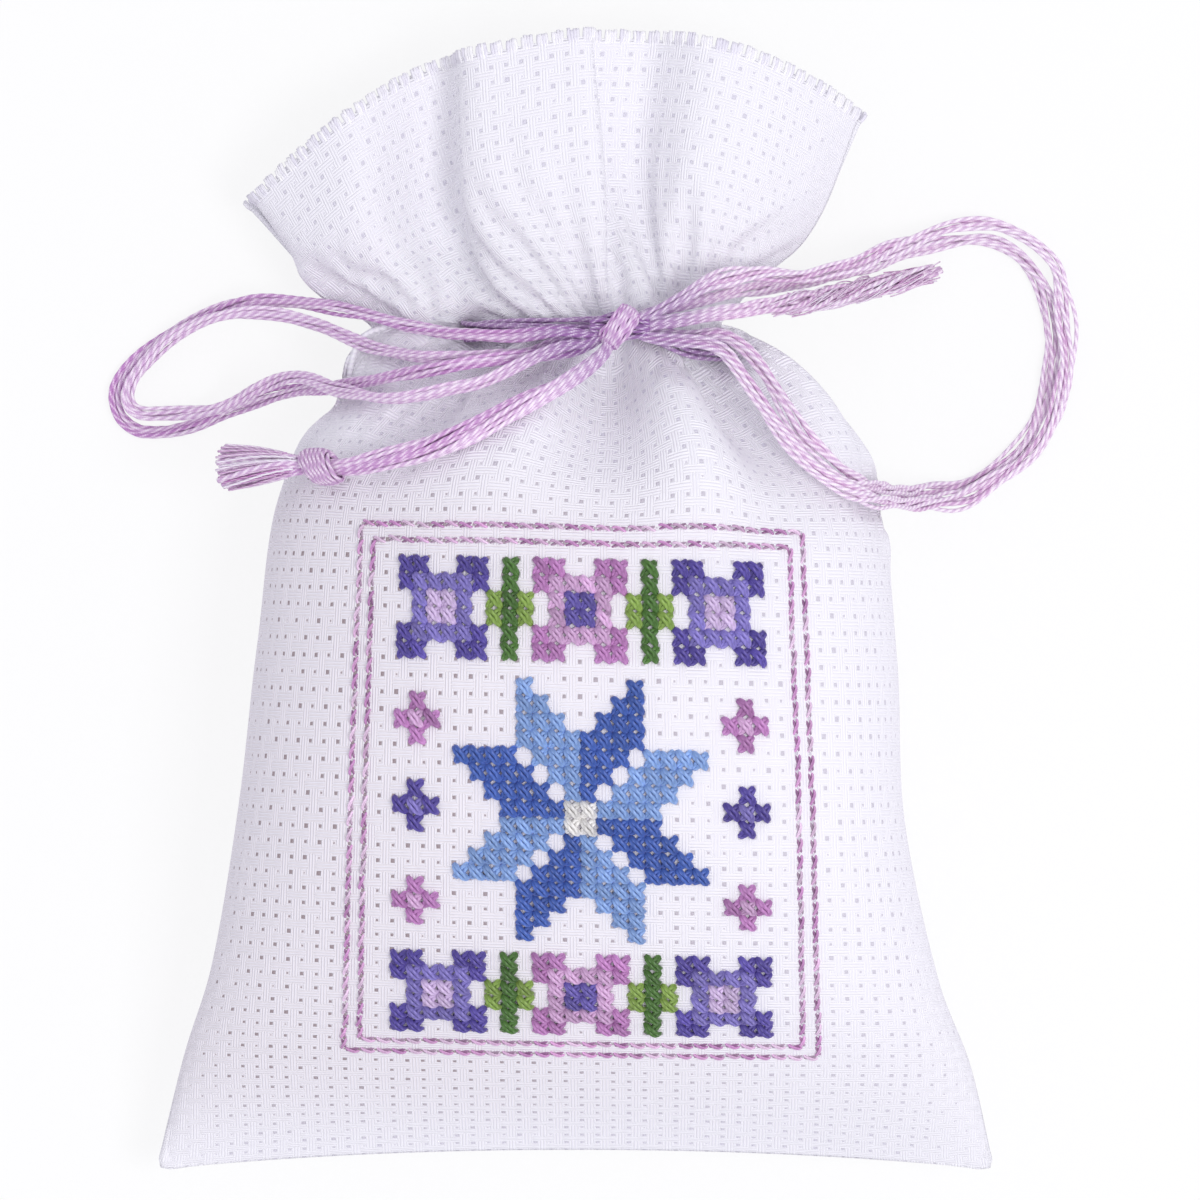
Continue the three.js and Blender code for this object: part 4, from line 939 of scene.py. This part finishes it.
crossStitches("star_centre", "white_floss", cells, [embroidery["white"]] * len(cells))


def outwards(step):  # blocks counted outwards from the middle of a flower, 0 first
    return -1 - step if step < 0 else step


flowerCells = [(x, y) for x in range(-3, 3) for y in range(-3, 3)]
flowerCells = [(x, y) for x, y in flowerCells if {outwards(x), outwards(y)} != {0, 2}]
for line, row in enumerate((5, cloth["frameRows"] - 5)):
    for i, column in enumerate((-9, 0, 9)):
        kind = "pink" if column == 0 else "violet"
        cells = [(column + x, row + y) for x, y in flowerCells]
        codes = [embroidery[kind][2 - max(outwards(x), outwards(y))] for x, y in flowerCells]
        crossStitches(f"flower_{3 * line + i + 1}", kind + "_floss", cells, codes)
    for i, column in enumerate((-5, 4)):
        cells = [(column, row + y) for y in range(-3, 3)]
        cells = cells + [(column + x, row + y) for x in (-1, 1) for y in (-1, 0)]
        codes = [embroidery["green"][0]] * 6 + [embroidery["green"][1]] * 4
        crossStitches(f"sprig_{2 * line + i + 1}", "green_floss", cells, codes)
for line, column in enumerate((-11, 10)):
    for i, row in enumerate((11, 17, 22)):
        kind = "violet" if i == 1 else "pink"
        cells = [(column + x, row + y) for x, y in ((0, 0), (1, 0), (-1, 0), (0, 1), (0, -1))]
        codes = [embroidery[kind][1]] + [embroidery[kind][0]] * 4
        crossStitches(f"diamond_{3 * line + i + 1}", kind + "_floss", cells, codes)
print("embroidery: stitched")

# Mouth: cut threads stand out past the last woven row, four to a block, their inner ends sunk in the cloth
fringe = {
    "past": 0.8, "radius": 0.17, "perBlock": 4, "bunched": 0.72, "shortest": 0.85, "longer": 0.3,
    "astray": 0.04, "raised": 0.02, "sunk": 0.3, "stops": (-1.0, -0.4, 0.2, 0.65, 1.0),
    "colours": ("#f3f1f8", "#fdfcfe"),
}


def makeFringe(name, points, outward):
    count = columnCount * fringe["perBlock"]
    c = (np.arange(count) + 0.5) / fringe["perBlock"]
    c = np.floor(c) + 0.5 + fringe["bunched"] * (c - np.floor(c) - 0.5)
    before, edge = throughPoints(points[-2:].transpose(1, 0, 2), c).transpose(1, 0, 2)
    way = unit(edge - before)
    aside = unit(np.gradient(edge, axis=0))
    normal = outward * unit(np.cross(aside, way))
    s = np.array(fringe["stops"])
    beyond = np.maximum(s, 0)
    length = fringe["past"] * (fringe["shortest"] + fringe["longer"] * chance.random((count, 1)))
    drift = fringe["astray"] * chance.standard_normal((count, 1)) * beyond ** 1.5
    lift = fringe["raised"] + fringe["sunk"] * np.minimum(s, 0)
    lift = lift + fringe["astray"] * chance.standard_normal((count, 1)) * beyond
    paths = edge[:, None] + (s * length)[..., None] * way[:, None]
    paths = paths + drift[..., None] * aside[:, None] + lift[..., None] * normal[:, None]
    paths[..., 2] = np.maximum(paths[..., 2], fringe["radius"] * 1.2)  # clear of the floor
    tints = strandTints(fringe["colours"], count, 1)
    upward = normal.mean(axis=0)
    makeStrands(name, paths, tints, fringe["radius"], upward, sewingCotton, "bag", "cloth", sides=4)


makeFringe("front_mouth_threads", frontCloth, 1)
makeFringe("back_mouth_threads", backCloth, -1)

# Seams: a twisted sewing thread inside each edge, dipping once a stitch; the bottom one bows down to its ends
seamThread = {
    "inset": 2.0, "firstRow": 7, "everyRow": 3, "step": 0.25, "stitch": 2.4, "dip": 0.12, "radius": 0.22,
    "colours": ("#eeecf5", "#f6f5fa"),
    "bottomHalf": 32.9, "bottomRise": 1.8, "bottomBow": 1.3, "bowHalf": 37.4, "bottomHeight": 8.6,
    "bottomStops": 23,
}


def makeSeam(name, line):
    path = evenPath(line, seamThread["step"])
    path[:, 2] += seamThread["dip"] * np.sin(tau * lengthAlong(path) / seamThread["stitch"])
    tints = strandTints(seamThread["colours"], 1, 0)
    makeStrands(name + "_stitches", path[None], tints, seamThread["radius"], [0, 0, 1], sewingCotton, "bag",
                "seam_cotton", [name])


def seamLine(side):  # beside the sewn edge, towards the middle of the bag
    rows = slice(seamThread["firstRow"], rowCount, seamThread["everyRow"])
    x = shift[rows, 0] + side * (half[rows, 0] - seamThread["inset"])
    t = side * (1 - seamThread["inset"] / half[rows, 0])
    lower = sag[rows, 0] * np.abs(t) ** mouth["curve"]
    return np.stack([x, bottomY + along[rows, 0] + tilt[rows, 0] * t - lower, seam[rows, 0]], -1)


makeSeam("left_seam_thread", seamLine(-1))
makeSeam("right_seam_thread", seamLine(1))
x = np.linspace(-seamThread["bottomHalf"], seamThread["bottomHalf"], seamThread["bottomStops"])
y = bottomY + seamThread["bottomRise"] - seamThread["bottomBow"] * (x / seamThread["bowHalf"]) ** 2
makeSeam("bottom_seam_thread", np.stack([x, y, seamThread["bottomHeight"] + 0 * x], -1))
print("seams and mouth made")

# Dried lavender: dull grey-violet buds, paler in patches of about 2.4 mm, with a grain of about 0.6 mm,
# heaped against the inside of the cloth
lavender, tree, shader = newMaterial("dried lavender buds")
place = addNode(tree, "TexCoord").outputs["Object"]
patches = addNode(tree, "TexNoise", {"Vector": place, "Scale": 420.0, "Detail": 3.0})
buds = addNode(tree, "ValToRGB", (patches,))
for i, position, code in ((0, 0.35, "#5e557c"), (1, 0.68, "#9a8f9e")):
    buds.color_ramp.elements[i].position = position
    buds.color_ramp.elements[i].color = colour(code)
grain = addNode(tree, "TexNoise", {"Vector": place, "Scale": 1800.0, "Detail": 2.0})
bump = addNode(tree, "Bump", {"Strength": 0.5, "Distance": 0.0002, "Height": grain})
setInputs(tree, shader, {"Base Color": buds, "Normal": bump, "Roughness": 0.95})

filling = {
    "inside": 1.9, "firstRow": 6, "lastRow": 55, "sideColumns": 4, "everyColumn": 2, "lump": 0.25 / 12,
    "capSizes": (0.02, 0.55), "buds": 520, "budLength": 1.25, "budWidth": 0.5, "budStops": 6, "budSides": 6,
}
rows = np.arange(filling["firstRow"], filling["lastRow"] + 1)
columns = np.arange(filling["sideColumns"], columnCount - filling["sideColumns"] + 1, filling["everyColumn"])
frontInside = (frontCloth - filling["inside"] * clothNormals(frontCloth))[np.ix_(rows, columns)]
backInside = (backCloth + filling["inside"] * clothNormals(backCloth))[np.ix_(rows, columns)]
rings = np.concatenate([frontInside, backInside[:, ::-1]], axis=1)
middle = rings.mean(axis=1, keepdims=True)
# Lumps: each ring draws in by lump (1 + the product of two bent waves), round it and along the bag
i, j = np.meshgrid(rows, np.arange(rings.shape[1]), indexing="ij")
bentWaves = np.sin(1.9 * i + 2.3 * np.sin(0.7 * j)) * np.sin(1.3 * j + 1.7 * np.sin(0.9 * i))
lumps = 1 - filling["lump"] * (1 + bentWaves)
rings = middle + (rings - middle) * lumps[..., None]
caps = [[middle[k] + (rings[k] - middle[k]) * size for size in filling["capSizes"]] for k in (0, -1)]
heap = np.concatenate([caps[0], rings, caps[1][::-1]])
heapFaces = gridFaces(heap.shape[0], heap.shape[1], True)[:, ::-1].tolist()
# A bud is a spindle: radius w sin(pi t)^0.7 along its length, turned at random in the surface that it lies on
pick = chance.integers(0, [[len(rows)], [rings.shape[1]]], (2, filling["buds"]))
seat = rings[pick[0], pick[1]]
outer = unit(seat - middle[pick[0], 0])
way = unit(np.cross(outer, chance.standard_normal((filling["buds"], 3))))
cross = np.cross(outer, way)
stops, sides = filling["budStops"], filling["budSides"]
t = np.linspace(0.03, 0.97, stops)
angle = np.arange(sides) * tau / sides
girth = filling["budWidth"] * np.sin(np.pi * t) ** 0.7
budAlong = ((t - 0.5) * 2 * filling["budLength"])[:, None] * np.ones(sides)
budOut = girth[:, None] * np.cos(angle)
budSide = girth[:, None] * np.sin(angle)
budPoints = seat[:, None, None] + budAlong[..., None] * way[:, None, None]
budPoints = budPoints + budOut[..., None] * outer[:, None, None] + budSide[..., None] * cross[:, None, None]
first = heap.size // 3 + np.arange(filling["buds"])[:, None] * stops * sides
budFaces = (gridFaces(stops, sides, True)[None] + first[..., None]).reshape(-1, 4).tolist()
ring = np.arange(sides)
budEnds = (first + ring[::-1]).tolist() + (first + (stops - 1) * sides + ring).tolist()
points = np.concatenate([heap.reshape(-1, 3), budPoints.reshape(-1, 3)])
faces = heapFaces + budFaces + budEnds
heapPiece = makePiece("lavender_heap", points, faces, lavender, "bag", "dried_lavender", ["lavender_filling"])
print("filling: heaped")

# Plain white floor that keeps a faint shadow, and soft studio light from above; places and sizes in metres
studio = {
    "world": 0.8, "worldColour": "#f6f5ff", "key": 1.62, "keyPlace": (0.217, -0.058, 0.631), "keySize": 0.2,
    "shadow": 0.15, "floorHalf": 4,
}
reach = studio["floorHalf"]
corners = [(-reach, -reach, 0), (reach, -reach, 0), (reach, reach, 0), (-reach, reach, 0)]
floorMesh = bpy.data.meshes.new("floor")
floorMesh.from_pydata(corners, [], [(0, 1, 2, 3)])
floor = bpy.data.objects.new("floor", floorMesh)
scene.collection.objects.link(floor)
paper, tree, shader = newMaterial("white paper floor")
setInputs(tree, shader, {"Base Color": colour("#f4f4f6"), "Roughness": 1.0})
ray = addNode(tree, "LightPath").outputs
seen = addNode(tree, "Math", (ray["Is Camera Ray"], ray["Is Glossy Ray"]), operation="MAXIMUM")
seen = addNode(tree, "Math", (seen, ray["Is Transmission Ray"]), operation="MAXIMUM")
seen = addNode(tree, "Math", (seen, 1 - studio["shadow"]), operation="MULTIPLY")
glow = addNode(tree, "Emission", {"Color": (1, 1, 1, 1), "Strength": 1.0})
mixed = addNode(tree, "MixShader", (seen, shader, glow))
setInputs(tree, tree.nodes["Material Output"], {"Surface": mixed})
floorMesh.materials.append(paper)

world = bpy.data.worlds.new("studio")
scene.world = world
world.use_nodes = True
light = {"Color": colour(studio["worldColour"]), "Strength": studio["world"]}
setInputs(world.node_tree, world.node_tree.nodes["Background"], light)
key = bpy.data.objects.new("key", bpy.data.lights.new("key", "AREA"))
key.data.energy = studio["key"]
key.data.size = studio["keySize"]
key.location = studio["keyPlace"]
away = unit(np.array(studio["keyPlace"]))  # the lamp shines at the middle of the bag
tip = np.arctan2(np.hypot(away[0], away[1]), away[2])
key.rotation_euler = (tip, 0, np.arctan2(away[1], away[0]) + np.pi / 2)
scene.collection.objects.link(key)
